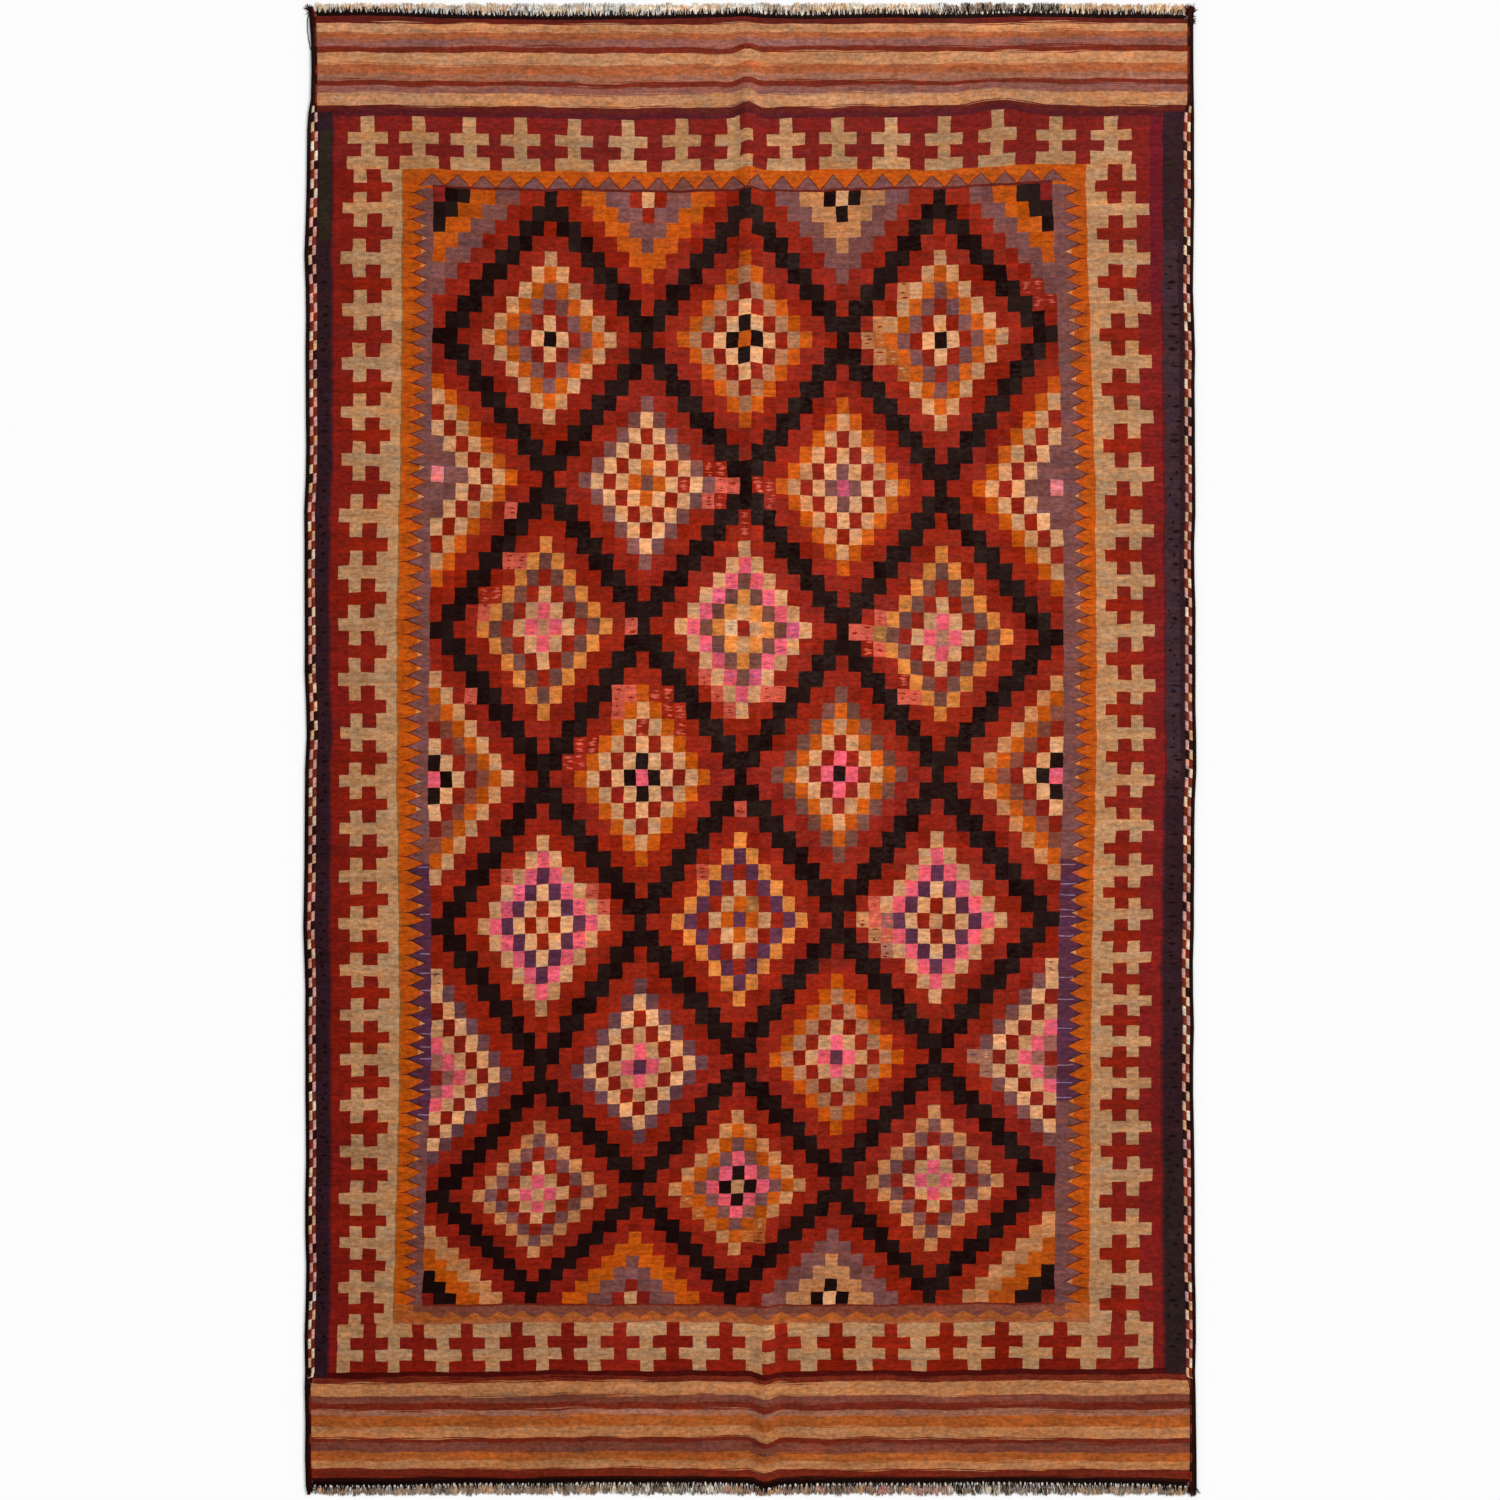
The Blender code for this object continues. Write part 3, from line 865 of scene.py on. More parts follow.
def paint_end_teeth(chart):
    """The sawtooth border above and below the field."""
    left, right = side_line("left", "orange"), side_line("right", "orange")
    orange, tips, band, line = TOP_SAW
    chart.box(left, line, right, orange, "orange")
    half, middles = tooth_row(TOP_TEETH)
    for middle in middles:
        chart.paint([(middle - half, band), (middle + half, band), (middle, tips + 2)], "maroon")
        chart.paint([(middle - half + 3, band), (middle + half - 3, band), (middle, tips)], "mauve")
    chart.box(FIELD_LEFT, line, FIELD_RIGHT, band, "maroon")
    line, tips, points, outer = BOTTOM_SAW
    chart.box(left, outer, right, line, "salmon")
    chart.box(left, outer, right, outer + 6, "copper")
    chart.box(FIELD_LEFT - 20, tips, FIELD_RIGHT + 20, line, "purple")
    chart.box(FIELD_LEFT, line - 4, FIELD_RIGHT, line, "dark_red")
    half, middles = tooth_row(BOTTOM_TEETH)
    for middle in middles:
        chart.paint([(middle - half, tips), (middle, points), (middle + half, tips)], "purple")


def field_yarn(column, row):
    """The yarn of one cell of the field, by its steps from the nearest diamond's middle."""
    steps, yarns = min(
        (abs(column - middle) + abs(row - centre), diamond.yarns.split())
        for diamond in DIAMONDS
        for middle in diamond.columns
        for centre in diamond.rows
    )
    if steps < len(yarns):
        return yarns[steps]
    return "brick" if steps < len(yarns) + 2 else "black"


def paint_field(chart):
    """The stepped diamonds, cell by cell, with their mended cells and streaky patches."""
    chance, lots = random.Random(3), random.Random(6)
    mended = {
        (column, row): yarn
        for yarn, rows in MENDS.items()
        for row, columns in rows.items()
        for column in columns
    }
    for row in range(FIRST_ROW, LAST_ROW + 1):
        upper, lower = np.interp((row - 0.5, row + 0.5), ROW_NUMBERS, ROW_HEIGHTS)
        for column in range(FIRST_COLUMN, LAST_COLUMN + 1):
            left = FIELD_LEFT + (column - FIRST_COLUMN) * COLUMN_WIDTH
            cell = (left, lower, left + COLUMN_WIDTH, upper)
            ground = field_yarn(column, row)
            chart.box(*cell, mended.get((column, row), ground), any_lot(lots))
            if (column, row) in mended:
                add_streaks(chart, chance, cell, ground, STREAKS_PER_MEND)
            else:
                paint_wear(chart, chance, cell, ground)


def paint_wear(chart, chance, cell, ground):
    """Streaks of the yarn that shows through, where a cell lies in a streaky patch."""
    left, lower, right, upper = cell
    for patch in PATCHES.get(ground, ()):
        across = ((left + right) / 2 - patch.x) / patch.across
        along = ((lower + upper) / 2 - patch.y) / patch.along
        if across**2 + along**2 < PATCH_EDGE:
            add_streaks(chart, chance, cell, SHOWS_THROUGH[ground], STREAKS_PER_CELL)


def add_streaks(chart, chance, cell, yarn, count):
    """Stray wefts of one yarn in a cell."""
    left, lower, right, upper = cell
    inset = STREAK_INSET * (right - left)
    for _ in range(count):
        start, end = left + chance.uniform(0, inset), right - chance.uniform(0, inset)
        height = chance.uniform(lower + STREAK_MARGIN, upper - STREAK_MARGIN)
        chart.wisp(start, end, height, chance.uniform(*STREAK_THICKNESS), yarn)


def steps_over(half, step):
    """Even offsets over a fold, from one side to the other."""
    return np.arange(-half, half + 1, step)


def loose_points():
    """Laid points that keep the mesh smooth: even ones all over, and close ones at the folds."""
    across, along = (np.arange(*ends, LOOSE_STEP) for ends in (LOOSE_ACROSS, LOOSE_ALONG))
    even = [(x, y) for x in across for y in along]
    ridge = []
    for y in np.arange(*LOOSE_ALONG, CREASE_STEPS[1]):
        middle = float(read_table(CREASE, "x", "y", y))
        ridge += [(middle + x, y) for x in steps_over(CREASE_HALF_WIDTH, CREASE_STEPS[0])]
    ripple = [
        (RIPPLE_X + x, RIPPLE_Y + y)
        for x in steps_over(RIPPLE_HALF_WIDTH, RIPPLE_STEP)
        for y in steps_over(RIPPLE_HALF_LENGTH, RIPPLE_STEP)
    ]
    return even + ridge + ripple


def linear(colour):
    """An sRGB colour out of 255 as linear light."""
    shares = np.array(colour) / 255.0
    return np.where(shares <= 0.04045, shares / 12.92, ((shares + 0.055) / 1.055) ** 2.4)


def new_piece(name, points, faces, wools):
    """A mesh piece in millimetres, with a yarn name and a dye lot for each face."""
    mesh = bpy.data.meshes.new(name)
    mesh.from_pydata([tuple(p) for p in np.asarray(points) * MM], [], faces)
    mesh.validate()
    piece = bpy.data.objects.new(name, mesh)
    bpy.context.scene.collection.objects.link(piece)
    set_wools(mesh, wools)
    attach(piece, "root")
    return piece


def set_wools(mesh, wools):
    """Stores each face's yarn as a colour, whether it is a red whose dye drifts, and its lot."""
    colours = {yarn: (*linear(YARNS[yarn]), 1.0) for yarn, _ in wools}
    layer = mesh.color_attributes.new("yarn", "FLOAT_COLOR", "CORNER")
    values = np.array([colours[wools[p.index][0]] for p in mesh.polygons for _ in p.loop_indices])
    layer.data.foreach_set("color", values.ravel())
    reds = mesh.attributes.new("red_yarn", "FLOAT", "FACE")
    reds.data.foreach_set("value", [float(yarn in RED_YARNS) for yarn, _ in wools])
    lots = mesh.attributes.new("dye_lot", "FLOAT", "FACE")
    lots.data.foreach_set("value", [lot for _, lot in wools])


def turns(face):
    """The edges round a face, as pairs of points."""
    return list(zip(face, face[1:] + face[:1]))


def wool_borders(chart):
    """The charted lines between unlike wools: their two ends, and the wool on either hand.

    Outside the sheet the wool is None."""
    points, edges, faces, _, _, sources = delaunay_2d_cdt(
        [Vector(p) for p in chart.points], [], chart.shapes, 0, MERGE_WITHIN
    )
    left_of = {}
    for face, source in zip(faces, sources):
        for turn in turns(list(face)):
            left_of[turn] = chart.wools[max(source)] if 0 in source else None
    borders = []
    for a, b in edges:
        left, right = left_of.get((a, b)), left_of.get((b, a))
        if left != right:
            borders.append((a, b, left, right))
    return np.array(points), borders


def split_borders(points, borders):
    """Cuts each border into short steps, so that it can bend as it is laid."""
    points = [tuple(p) for p in points]
    steps = []
    for a, b, left, right in borders:
        start, end = np.array(points[a]), np.array(points[b])
        count = max(1, math.ceil(np.linalg.norm(end - start) / BORDER_STEP))
        line = [a]
        for i in range(1, count):
            line.append(len(points))
            points.append(tuple(start + (end - start) * i / count))
        line.append(b)
        steps += [(c, d, left, right) for c, d in zip(line, line[1:])]
    used = sorted({i for step in steps for i in step[:2]})
    renumbered = {old: new for new, old in enumerate(used)}
    steps = [(renumbered[a], renumbered[b], left, right) for a, b, left, right in steps]
    return np.array([points[i] for i in used]), steps


def laid_mesh(chart):
    """The cloth's face as it lies: points, triangles and each triangle's wool."""
    charted, steps = split_borders(*wool_borders(chart))
    x, y = lay(charted[:, 0], charted[:, 1])
    points = [Vector(p) for p in zip(x, y)] + [Vector(p) for p in loose_points()]
    found, edges, faces, _, edge_sources, _ = delaunay_2d_cdt(
        points, [step[:2] for step in steps], [], 0, MERGE_WITHIN
    )
    left_of = {}
    for (a, b), sources in zip(edges, edge_sources):
        for source in sources[:1]:
            c, d, left, right = steps[source]
            along = (found[b] - found[a]).dot(points[d] - points[c]) > 0
            left_of[a, b], left_of[b, a] = (left, right) if along else (right, left)
    wools = spread_wools([list(face) for face in faces], left_of)
    kept = [i for i, wool in enumerate(wools) if wool]
    return np.array(found), [list(faces[i]) for i in kept], [wools[i] for i in kept]


def spread_wools(faces, left_of):
    """Gives each face the wool of its borders, or of the neighbours that no border parts."""
    face_of = {turn: i for i, face in enumerate(faces) for turn in turns(face)}
    wools = [None] * len(faces)
    reached = set()
    for start, wool in left_of.items():
        waiting = [face_of[start]] if start in face_of else []
        while waiting:
            i = waiting.pop()
            if i in reached:
                continue
            reached.add(i)
            wools[i] = wool
            for a, b in turns(faces[i]):
                if (a, b) not in left_of and (b, a) in face_of:
                    waiting.append(face_of[b, a])
    return wools


def paint_rug():
    """The whole pattern, from its ground up."""
    chart = Chart()
    chart.box(SHEET_LEFT, SHEET_BOTTOM, SHEET_RIGHT, SHEET_TOP, "brick")
    paint_stripes(chart)
    paint_margins(chart)
    for end in ("top", "bottom"):
        paint_end_crosses(chart, end)
    for side in ("left", "right"):
        paint_side_crosses(chart, side)
        paint_side_teeth(chart, side)
    paint_end_teeth(chart)
    paint_field(chart)
    return chart


def make_sheet():
    """The cloth: its face, its underside and the thin walls between them."""
    flat, faces, wools = laid_mesh(paint_rug())
    under = lift_at(flat[:, 0], flat[:, 1])
    face_up = np.column_stack([flat, under + SHEET_THICKNESS])
    face_down = np.column_stack([flat, under])
    count = len(flat)
    below = [[i + count for i in reversed(face)] for face in faces]
    wool_of = {turn: wool for face, wool in zip(faces, wools) for turn in turns(face)}
    rim = [(a, b) for a, b in wool_of if (b, a) not in wool_of]
    walls = [[b, a, a + count, b + count] for a, b in rim]
    sheet = new_piece(
        "kilim_cloth",
        np.vstack([face_up, face_down]),
        faces + below + walls,
        wools + wools + [wool_of[turn] for turn in rim],
    )
    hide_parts("woven_sheet")
    map_flat(sheet.data)
    return sheet


def map_flat(mesh):
    """A flat UV map stretched over the whole cloth, which its two faces share."""
    layer = mesh.uv_layers.new(name="OFBake")
    places = np.array([vertex.co[:2] for vertex in mesh.vertices])
    low, high = places.min(axis=0), places.max(axis=0)
    shares = (places - low) / (high - low)
    layer.data.foreach_set("uv", shares[[loop.vertex_index for loop in mesh.loops]].ravel())


def circle(sides):
    """The angles of a ring's points."""
    return [2 * math.pi * k / sides for k in range(sides)]


class Tubes:
    """Rows of rings that are joined into closed tubes: all the yarns of one piece."""

    def __init__(self):
        self.points = []
        self.faces = []
        self.yarns = []

    def join(self, rings, yarns):
        """Joins rings of points, from the first to the last, with one yarn for each span."""
        sides = len(rings[0])
        start = len(self.points)
        self.points += [point for ring in rings for point in ring]
        for span, yarn in enumerate(yarns):
            base = start + span * sides
            for i in range(sides):
                j = (i + 1) % sides
                self.faces.append([base + i, base + j, base + sides + j, base + sides + i])
                self.yarns.append(yarn)
        last = start + (len(rings) - 1) * sides
        self.faces.append([start + i for i in reversed(range(sides))])
        self.faces.append([last + i for i in range(sides)])
        self.yarns += [yarns[0], yarns[-1]]

    def strand(self, path, radii, yarns):
        """A thin yarn along a path that runs nearly level."""
        rings = []
        for i, (centre, radius) in enumerate(zip(path, radii)):
            before, after = path[max(i - 1, 0)], path[min(i + 1, len(path) - 1)]
            forward = Vector(after) - Vector(before)
            sideways = forward.cross(Vector((0, 0, 1))).normalized()
            upwards = sideways.cross(forward).normalized()
            offsets = [sideways * math.cos(turn) + upwards * math.sin(turn) for turn in circle(4)]
            rings.append([Vector(centre) + radius * offset for offset in offsets])
        self.join(rings, yarns)

    def piece(self, name, slot):
        wools = [(yarn, EVEN_LOT) for yarn in self.yarns]
        made = new_piece(name, self.points, self.faces, wools)
        made.data.shade_smooth()
        return made


def selvedge_yarn(lobe, y, chance):
    """The wrap of one lobe at one height: staggered checks beside the body, dark elsewhere."""
    if lobe == 0:
        return "black"
    if not CHECKS_BOTTOM < y < CHECKS_TOP:
        return chance.choice(END_WRAPS) if lobe == 2 else "brown_black"
    if (math.floor(y / CHECK_HEIGHT) + lobe) % 2:
        return "dark_red" if chance.random() < RED_CHECKS else "brown_black"
    return chance.choice(PALE_CHECKS)


def wrap_rings(node, inward, heights, lobe):
    """One of the three wrapped bundles of warps, with a ridge for each turn of the wrap."""
    outer = edge(node, heights)
    width = np.interp(heights, *WIDTHS[node])
    rings = []
    for i, y in enumerate(heights):
        middle = outer[i] + inward * width[i] * (lobe + 0.5) / 3
        fullness = 1.0 if i % 2 else GROOVE_HEIGHT
        half = width[i] / 6 * (RIDGE_WIDTH if i % 2 else GROOVE_WIDTH)
        ring = [
            (
                middle + half * math.cos(turn),
                y + WRAP_SLANT * half * math.cos(turn) * inward,
                SELVEDGE_HEIGHT / 2 * (1 + fullness * math.sin(turn)),
            )
            for turn in circle(8)
        ]
        rings.append(ring)
    return rings


def wrap_yarns(heights, lobe, chance):
    """The yarn of each turn of a bundle's wrap, which changes from check to check."""
    checks = {}
    yarns = []
    for y in heights[:-1]:
        check = (math.floor(y / CHECK_HEIGHT), CHECKS_BOTTOM < y < CHECKS_TOP)
        if check not in checks:
            checks[check] = selvedge_yarn(lobe, y, chance)
        yarns.append(checks[check])
    return yarns


def make_selvedge(side):
    """Three wrapped bundles of warps, side by side, and the cut ends at their corners."""
    node = f"selvedge_{side}"
    inward = 1 if side == "left" else -1
    chance = random.Random(11 if side == "left" else 12)
    tubes = Tubes()
    heights = np.arange(SELVEDGE_BOTTOM, SELVEDGE_TOP, WRAP_PITCH / 2)
    for lobe in range(3):
        tubes.join(wrap_rings(node, inward, heights, lobe), wrap_yarns(heights, lobe, chance))
    for tuft in TUFTS:
        if tuft.side == side:
            add_tuft(tubes, tuft, chance)
    if side == "left":
        path = [(x, y, THREAD_RADIUS + THREAD_LIFT) for x, y in THREAD]
        tubes.strand(path, [THREAD_RADIUS] * len(path), ["brown_black"] * (len(path) - 1))
    piece = tubes.piece(f"overcast_edge_{side}", "overcast_wool")
    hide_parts(node)
    return piece


def add_tuft(tubes, tuft, chance):
    """The cut ends of a selvedge's cord, bristling at a corner."""
    for _ in range(tuft.strands):
        x = tuft.x + chance.uniform(-1, 1) * tuft.across
        y = tuft.y + chance.uniform(-1, 1) * tuft.across
        lean = math.radians(tuft.heading + chance.gauss(0, tuft.spread))
        length = tuft.length * chance.uniform(*TUFT_LENGTHS)
        height = chance.uniform(*TUFT_HEIGHTS)
        path = [
            (x + share * length * math.cos(lean), y + share * length * math.sin(lean), height)
            for share in (0.0, 0.5, 1.0)
        ]
        tubes.strand(path, TUFT_RADII, [tuft.yarn] * 2)


def oval(x, y, z, half_width, half_height):
    """A ring across a cord's length."""
    return [(x, y + half_width * math.cos(k), z + half_height * math.sin(k)) for k in circle(6)]


def make_cord(end):
    """Two dark yarns twined round each other and a flat core across an end."""
    outward = 1 if end == "top" else -1
    tubes = Tubes()
    low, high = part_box(f"end_cord_{end}")
    places = np.arange(low[0] / MM, high[0] / MM, CORD_TWIST / CORD_STEPS)
    line = edge(end, places) + outward * (CORD_GAP + CORD_WIDTH / 2)
    for phase in (0, math.pi):
        ply = []
        for x, y in zip(places, line):
            turn = 2 * math.pi * x / CORD_TWIST + phase
            middle = y + PLY_SWING * math.sin(turn)
            height = SELVEDGE_HEIGHT / 2 + PLY_RISE * math.cos(turn)
            ply.append(oval(x, middle, height, PLY_HALF_WIDTH, PLY_HALF_HEIGHT))
        tubes.join(ply, ["black"] * (len(ply) - 1))
    core = [
        oval(x, y, CORE_MIDDLE, CORE_HALF_WIDTH, CORE_HALF_HEIGHT)
        for x, y in zip(places[::5], line[::5])
    ]
    tubes.join(core, ["black"] * (len(core) - 1))
    piece = tubes.piece(f"twined_cord_{end}", "twined_wool")
    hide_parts(f"end_cord_{end}")
    return piece


def lock_tones(end, x):
    """The yarns that a fringe's locks mix at one place."""
    return next(tone.yarns.split() for tone in FRINGE_TONES[end] if x < tone.until)


def make_fringe(end):
    """Locks of cut warp ends, knotted at their roots under the end cord and fanning out."""
    outward = 1 if end == "top" else -1
    chance = random.Random(21 if end == "top" else 22)
    tubes = Tubes()
    left = edge("left", outward * FRINGE_LEVEL) + FRINGE_INSET
    right = edge("right", outward * FRINGE_LEVEL) - FRINGE_INSET
    pitch = (right - left) / FRINGE_LOCKS
    for k in range(FRINGE_LOCKS):
        root_x = left + (k + 0.5) * pitch + chance.uniform(-ROOT_STRAY, ROOT_STRAY)
        root_y = edge(end, root_x) + outward * ROOT_OUT
        tones = lock_tones(end, root_x)
        reach = outward * FRINGE_TIPS[end] - root_y
        length = abs(reach) * chance.uniform(*LOCK_LENGTHS)
        lean = chance.gauss(0, LOCK_LEAN)
        dyes = (chance.choice(tones), tones)
        for _ in range(STRANDS_PER_LOCK):
            add_fringe_strand(tubes, chance, (root_x, root_y), outward * length, lean, dyes)
        for _ in range(STUBS_PER_LOCK):
            gap = (left + k * pitch + chance.uniform(-STUB_STRAY, STUB_STRAY), root_y)
            add_stub(tubes, chance, gap, outward)
    piece = tubes.piece(f"cut_fringe_{end}", "warp_fringe")
    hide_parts(f"fringe_{end}")
    return piece


def add_stub(tubes, chance, gap, outward):
    """A short dark end of the knotted row, between two locks."""
    x, y = gap
    lean = chance.uniform(-STUB_LEAN, STUB_LEAN)
    steps = (STUB_ROOT, STUB_BEND, chance.uniform(*STUB_TIPS))
    path = [(x + lean * step, y + outward * step, STUB_HEIGHT) for step in steps]
    tubes.strand(path, STUB_RADII, ["black"] * 2)


def add_fringe_strand(tubes, chance, root, length, lean, dyes):
    """One cut warp end of a lock, in its root's yarn and then the lock's or a mixed one."""
    root_x, root_y = root
    lock_yarn, tones = dyes
    spread = lean + chance.uniform(-FRINGE_FAN, FRINGE_FAN)
    length *= chance.uniform(*STRAND_LENGTHS)
    rest = chance.uniform(*STRAND_HEIGHTS)
    curl = chance.uniform(-STRAND_CURL, STRAND_CURL)
    start = root_x + chance.uniform(-STRAND_STRAY, STRAND_STRAY)
    path = []
    for share in STRAND_SHARES:
        fan = max(share - FRINGE_KNOT, 0.0) / (1 - FRINGE_KNOT)
        x = start + spread * fan + curl * math.sin(3 * fan)
        z = ROOT_HEIGHT + (rest - ROOT_HEIGHT) * fan
        path.append((x, root_y + length * share, z))
    dyed = lock_yarn if chance.random() < OWN_YARN else chance.choice(tones)
    tubes.strand(path, STRAND_RADII, [ROOT_YARN, dyed, dyed, dyed])


def add_node(tree, kind, inputs=(), **settings):
    """A shader node with its settings, and its inputs set or linked by socket name or number."""
    made = tree.nodes.new(kind)
    for name, value in settings.items():
        setattr(made, name, value)
    for socket, value in dict(inputs).items():
        if isinstance(value, bpy.types.NodeSocket):
            tree.links.new(value, made.inputs[socket])
        else:
            made.inputs[socket].default_value = value
    return made


def vector(tree, operation, a, b=(0.0, 0.0, 0.0), result="Vector"):
    made = add_node(tree, "ShaderNodeVectorMath", {0: a, 1: b}, operation=operation)
    return made.outputs[result]


def noise(tree, place, stretch, detail=2.0, roughness=0.5):
    """Noise with its own scale on each axis, in features per metre."""
    settings = {"Scale": 1.0, "Detail": detail, "Roughness": roughness}
    settings["Vector"] = vector(tree, "MULTIPLY", place, stretch)
    return add_node(tree, "ShaderNodeTexNoise", settings).outputs["Fac"]


def remap(tree, value, low, high, to_low, to_high):
    ends = {"Value": value, "From Min": low, "From Max": high, "To Min": to_low, "To Max": to_high}
    return add_node(tree, "ShaderNodeMapRange", ends).outputs["Result"]


def calculate(tree, operation, a, b=0.0):
    return add_node(tree, "ShaderNodeMath", {0: a, 1: b}, operation=operation).outputs[0]


def multiply(tree, a, b):
    return calculate(tree, "MULTIPLY", a, b)


def blend_colours(tree, kind, factor, a, b):
    inputs = {0: factor, 6: a, 7: b}
    return add_node(tree, "ShaderNodeMix", inputs, data_type="RGBA", blend_type=kind).outputs[2]


def weave_relief(tree, place):
    """How high the cloth's face stands: a bead of weft over each warp, half a bead along from
    those of the next warp, all a little uneven."""
    x, y, _ = add_node(tree, "ShaderNodeSeparateXYZ", {0: place}).outputs
    uneven = remap(tree, noise(tree, place, (40.0, 40.0, 1.0)), 0.3, 0.7, -0.5, 0.5)
    warps = calculate(tree, "ADD", multiply(tree, x, WARPS_PER_METRE), uneven)
    stagger = multiply(tree, calculate(tree, "FLOOR", warps), 0.5)
    beads = calculate(tree, "ADD", multiply(tree, y, WEFTS_PER_METRE), stagger)
    beads = calculate(tree, "ADD", beads, uneven)
    ridge, bead = (
        calculate(tree, "ABSOLUTE", calculate(tree, "SINE", multiply(tree, count, math.pi)))
        for count in (warps, beads)
    )
    return multiply(tree, calculate(tree, "SQRT", ridge), bead)


def middle_share(tree, place):
    """1 at the middle of the rug, which is painted paler, and 0 towards its edges."""
    scaled = vector(tree, "MULTIPLY", place, PALE_MIDDLE)
    return remap(tree, vector(tree, "LENGTH", scaled, result="Value"), 0.2, 1.0, 1.0, 0.0)


def top_right_share(tree, place):
    """How far a place lies towards the top right, where the wool is painted paler: 0 at the bottom
    left and 1 at the top right.
    """
    along = vector(tree, "DOT_PRODUCT", place, PALER_WAY, result="Value")
    return calculate(tree, "ADD", along, 0.5)


def attribute(tree, name, output):
    return add_node(tree, "ShaderNodeAttribute", attribute_name=name).outputs[output]


def wool_shade(tree, place, streak, shares):
    """How much darker or paler than its yarn the wool is: painted shade where its relief is low, a
    paler middle and top right, and wear and uneven dye.
    """
    shade = 1.0
    for name, (least, most) in SHADE_RANGES.items():
        shade = multiply(tree, shade, remap(tree, shares[name], 0.0, 1.0, least, most))
    for layer in (*WEAR_SHADES, Shade(streak, 3.0, 0.15, 0.84, 1.16)):
        value = noise(tree, place, layer.stretch, layer.detail, 0.7)
        low, high = 0.5 - layer.spread, 0.5 + layer.spread
        shade = multiply(tree, shade, remap(tree, value, low, high, layer.dark, layer.light))
    return shade


def fuzz_share(tree, place, shares):
    """How much pale fuzz stands off the yarn: most where the wool is matted, at the middle and
    towards the top right.
    """
    fuzz = noise(tree, place, FUZZ_STRETCH, 4.0, 0.75)
    fuzz = remap(tree, fuzz, 0.42, 0.68, 0.0, MOST_FUZZ)
    matted = remap(tree, noise(tree, place, MATTED_STRETCH), 0.35, 0.65, 0.3, 1.5)
    middle_fuzz = remap(tree, shares["middle"], 0.0, 1.0, 0.4, 1.4)
    fuzz = multiply(tree, multiply(tree, fuzz, matted), middle_fuzz)
    fuzz = calculate(tree, "ADD", fuzz, multiply(tree, shares["lot"], LOT_FUZZ))
    return multiply(tree, fuzz, remap(tree, shares["top_right"], 0.0, 1.0, 0.1, 1.7))


def wool_colour(tree, place, streak, relief):
    """The yarn's own colour, with its uneven dye, streaks, shadowed gaps and pale fuzz."""
    # The dye lots of the red drift from brick to crimson in bands along the rug
    bands = remap(tree, noise(tree, place, CRIMSON_STRETCH, 3.0), 0.42, 0.62, 0.0, MOST_CRIMSON)
    dye = multiply(tree, bands, attribute(tree, "red_yarn", "Fac"))
    crimson = (*linear(YARNS["crimson"]), 1.0)
    colour = blend_colours(tree, "MIX", dye, attribute(tree, "yarn", "Color"), crimson)

    shares = {
        "relief": relief,
        "middle": middle_share(tree, place),
        "top_right": top_right_share(tree, place),
        "lot": attribute(tree, "dye_lot", "Fac"),
    }
    shade = wool_shade(tree, place, streak, shares)
    grey = add_node(tree, "ShaderNodeCombineColor", {0: shade, 1: shade, 2: shade}).outputs[0]
    colour = blend_colours(tree, "MULTIPLY", 1.0, colour, grey)
    for stretch in TINT_STRETCHES:
        warmth = remap(tree, noise(tree, place, stretch, 3.0, 0.6), 0.35, 0.65, 0.0, 1.0)
        tint = blend_colours(tree, "MIX", warmth, COOL_TINT, WARM_TINT)
        colour = blend_colours(tree, "MULTIPLY", 1.0, colour, tint)
    return blend_colours(tree, "MIX", fuzz_share(tree, place, shares), colour, FUZZ)


def wool_material(name, streak, fibre, woven=False):
    """Dyed wool, woven or in loose yarn.

    streak and fibre are features per metre on each axis, of the dye and of the relief."""
    wool = bpy.data.materials.new(name)
    wool.use_nodes = True
    tree = wool.node_tree
    shader = tree.nodes["Principled BSDF"]
    place = add_node(tree, "ShaderNodeTexCoord").outputs["Object"]
    fibres = noise(tree, place, fibre, 2.0, 0.6)
    relief = weave_relief(tree, place) if woven else fibres
    tree.links.new(wool_colour(tree, place, streak, relief), shader.inputs["Base Color"])
    tree.links.new(remap(tree, fibres, 0.3, 0.7, 0.88, 1.0), shader.inputs["Roughness"])
    height = calculate(tree, "ADD", relief, fibres)
    depths = {"Height": height, "Strength": BUMP_STRENGTH, "Distance": BUMP_DEPTH}
    bumped = add_node(tree, "ShaderNodeBump", depths).outputs["Normal"]
    tree.links.new(bumped, shader.inputs["Normal"])
    for socket, value in WOOL_SOCKETS.items():
        shader.inputs[socket].default_value = value
    return wool


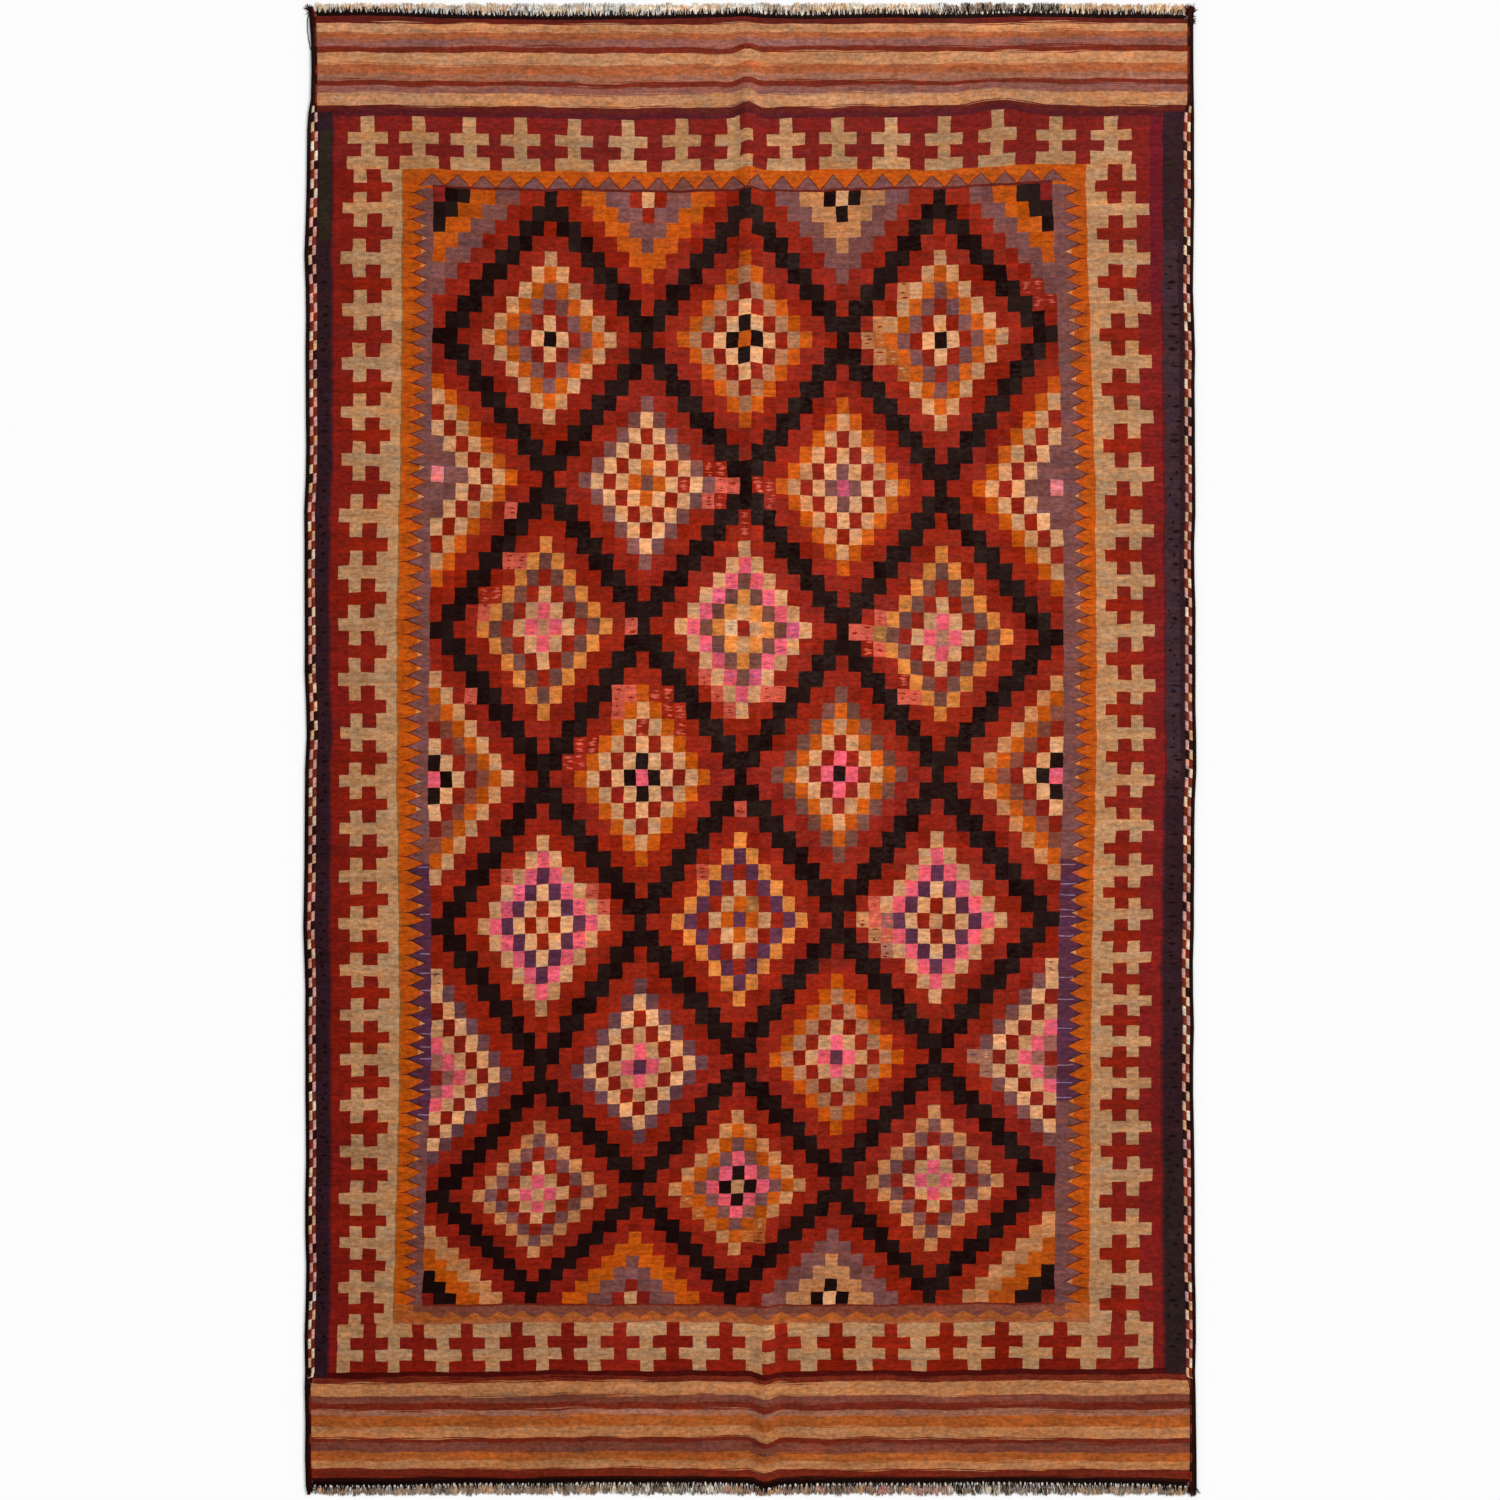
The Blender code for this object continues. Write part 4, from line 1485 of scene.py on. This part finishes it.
def add_camera():
    """Straight above the middle, framing a square of FRAME_SIDE as a long lens does."""
    data = bpy.data.cameras.new("overhead")
    camera = bpy.data.objects.new("overhead", data)
    camera.location = (0.0, 0.0, CAMERA_HEIGHT)
    data.lens = data.sensor_width * CAMERA_HEIGHT / FRAME_SIDE
    bpy.context.scene.collection.objects.link(camera)
    bpy.context.scene.camera = camera


def add_light():
    """Even studio light, with a soft key from the right that shows up the crease."""
    scene = bpy.context.scene
    scene.view_settings.view_transform = "Standard"
    data = bpy.data.lights.new("key", "SUN")
    data.energy = KEY_STRENGTH
    data.angle = math.radians(KEY_SPREAD)
    key = bpy.data.objects.new("key", data)
    key.rotation_euler = Vector(KEY_FROM).to_track_quat("Z", "Y").to_euler()
    scene.collection.objects.link(key)
    world = bpy.data.worlds.new("studio")
    world.use_nodes = True
    background = world.node_tree.nodes["Background"]
    background.inputs["Color"].default_value = (1.0, 1.0, 1.0, 1.0)
    background.inputs["Strength"].default_value = ROOM_STRENGTH
    scene.world = world


def make_floor():
    """A pale floor just under the rug, which is only there for the picture."""
    bpy.ops.mesh.primitive_plane_add(size=FLOOR_SIDE, location=(0.0, 0.0, -FLOOR_DROP))
    floor = bpy.context.object
    floor.name = "floor"
    paper = bpy.data.materials.new("pale_floor")
    paper.use_nodes = True
    shader = paper.node_tree.nodes["Principled BSDF"]
    shader.inputs["Base Color"].default_value = (0.97, 0.97, 0.97, 1.0)
    shader.inputs["Roughness"].default_value = 0.9
    floor.data.materials.append(paper)


add_camera()
add_light()
make_floor()
woven = wool_material("woven_wool", (22.0, 150.0, 1.0), (420.0, 700.0, 1.0), woven=True)
wrapped = wool_material("wrapped_wool", (160.0, 420.0, 160.0), (300.0, 900.0, 300.0))
cut = wool_material("cut_yarn", (600.0, 90.0, 600.0), (1200.0, 160.0, 1200.0))

sheet = make_sheet()
sheet.data.materials.append(woven)
trims = [make_selvedge(side) for side in ("left", "right")]
trims += [make_cord(end) for end in ("top", "bottom")]
for piece in trims:
    piece.data.materials.append(wrapped)
fringes = [make_fringe(end) for end in ("top", "bottom")]
for piece in fringes:
    piece.data.materials.append(cut)
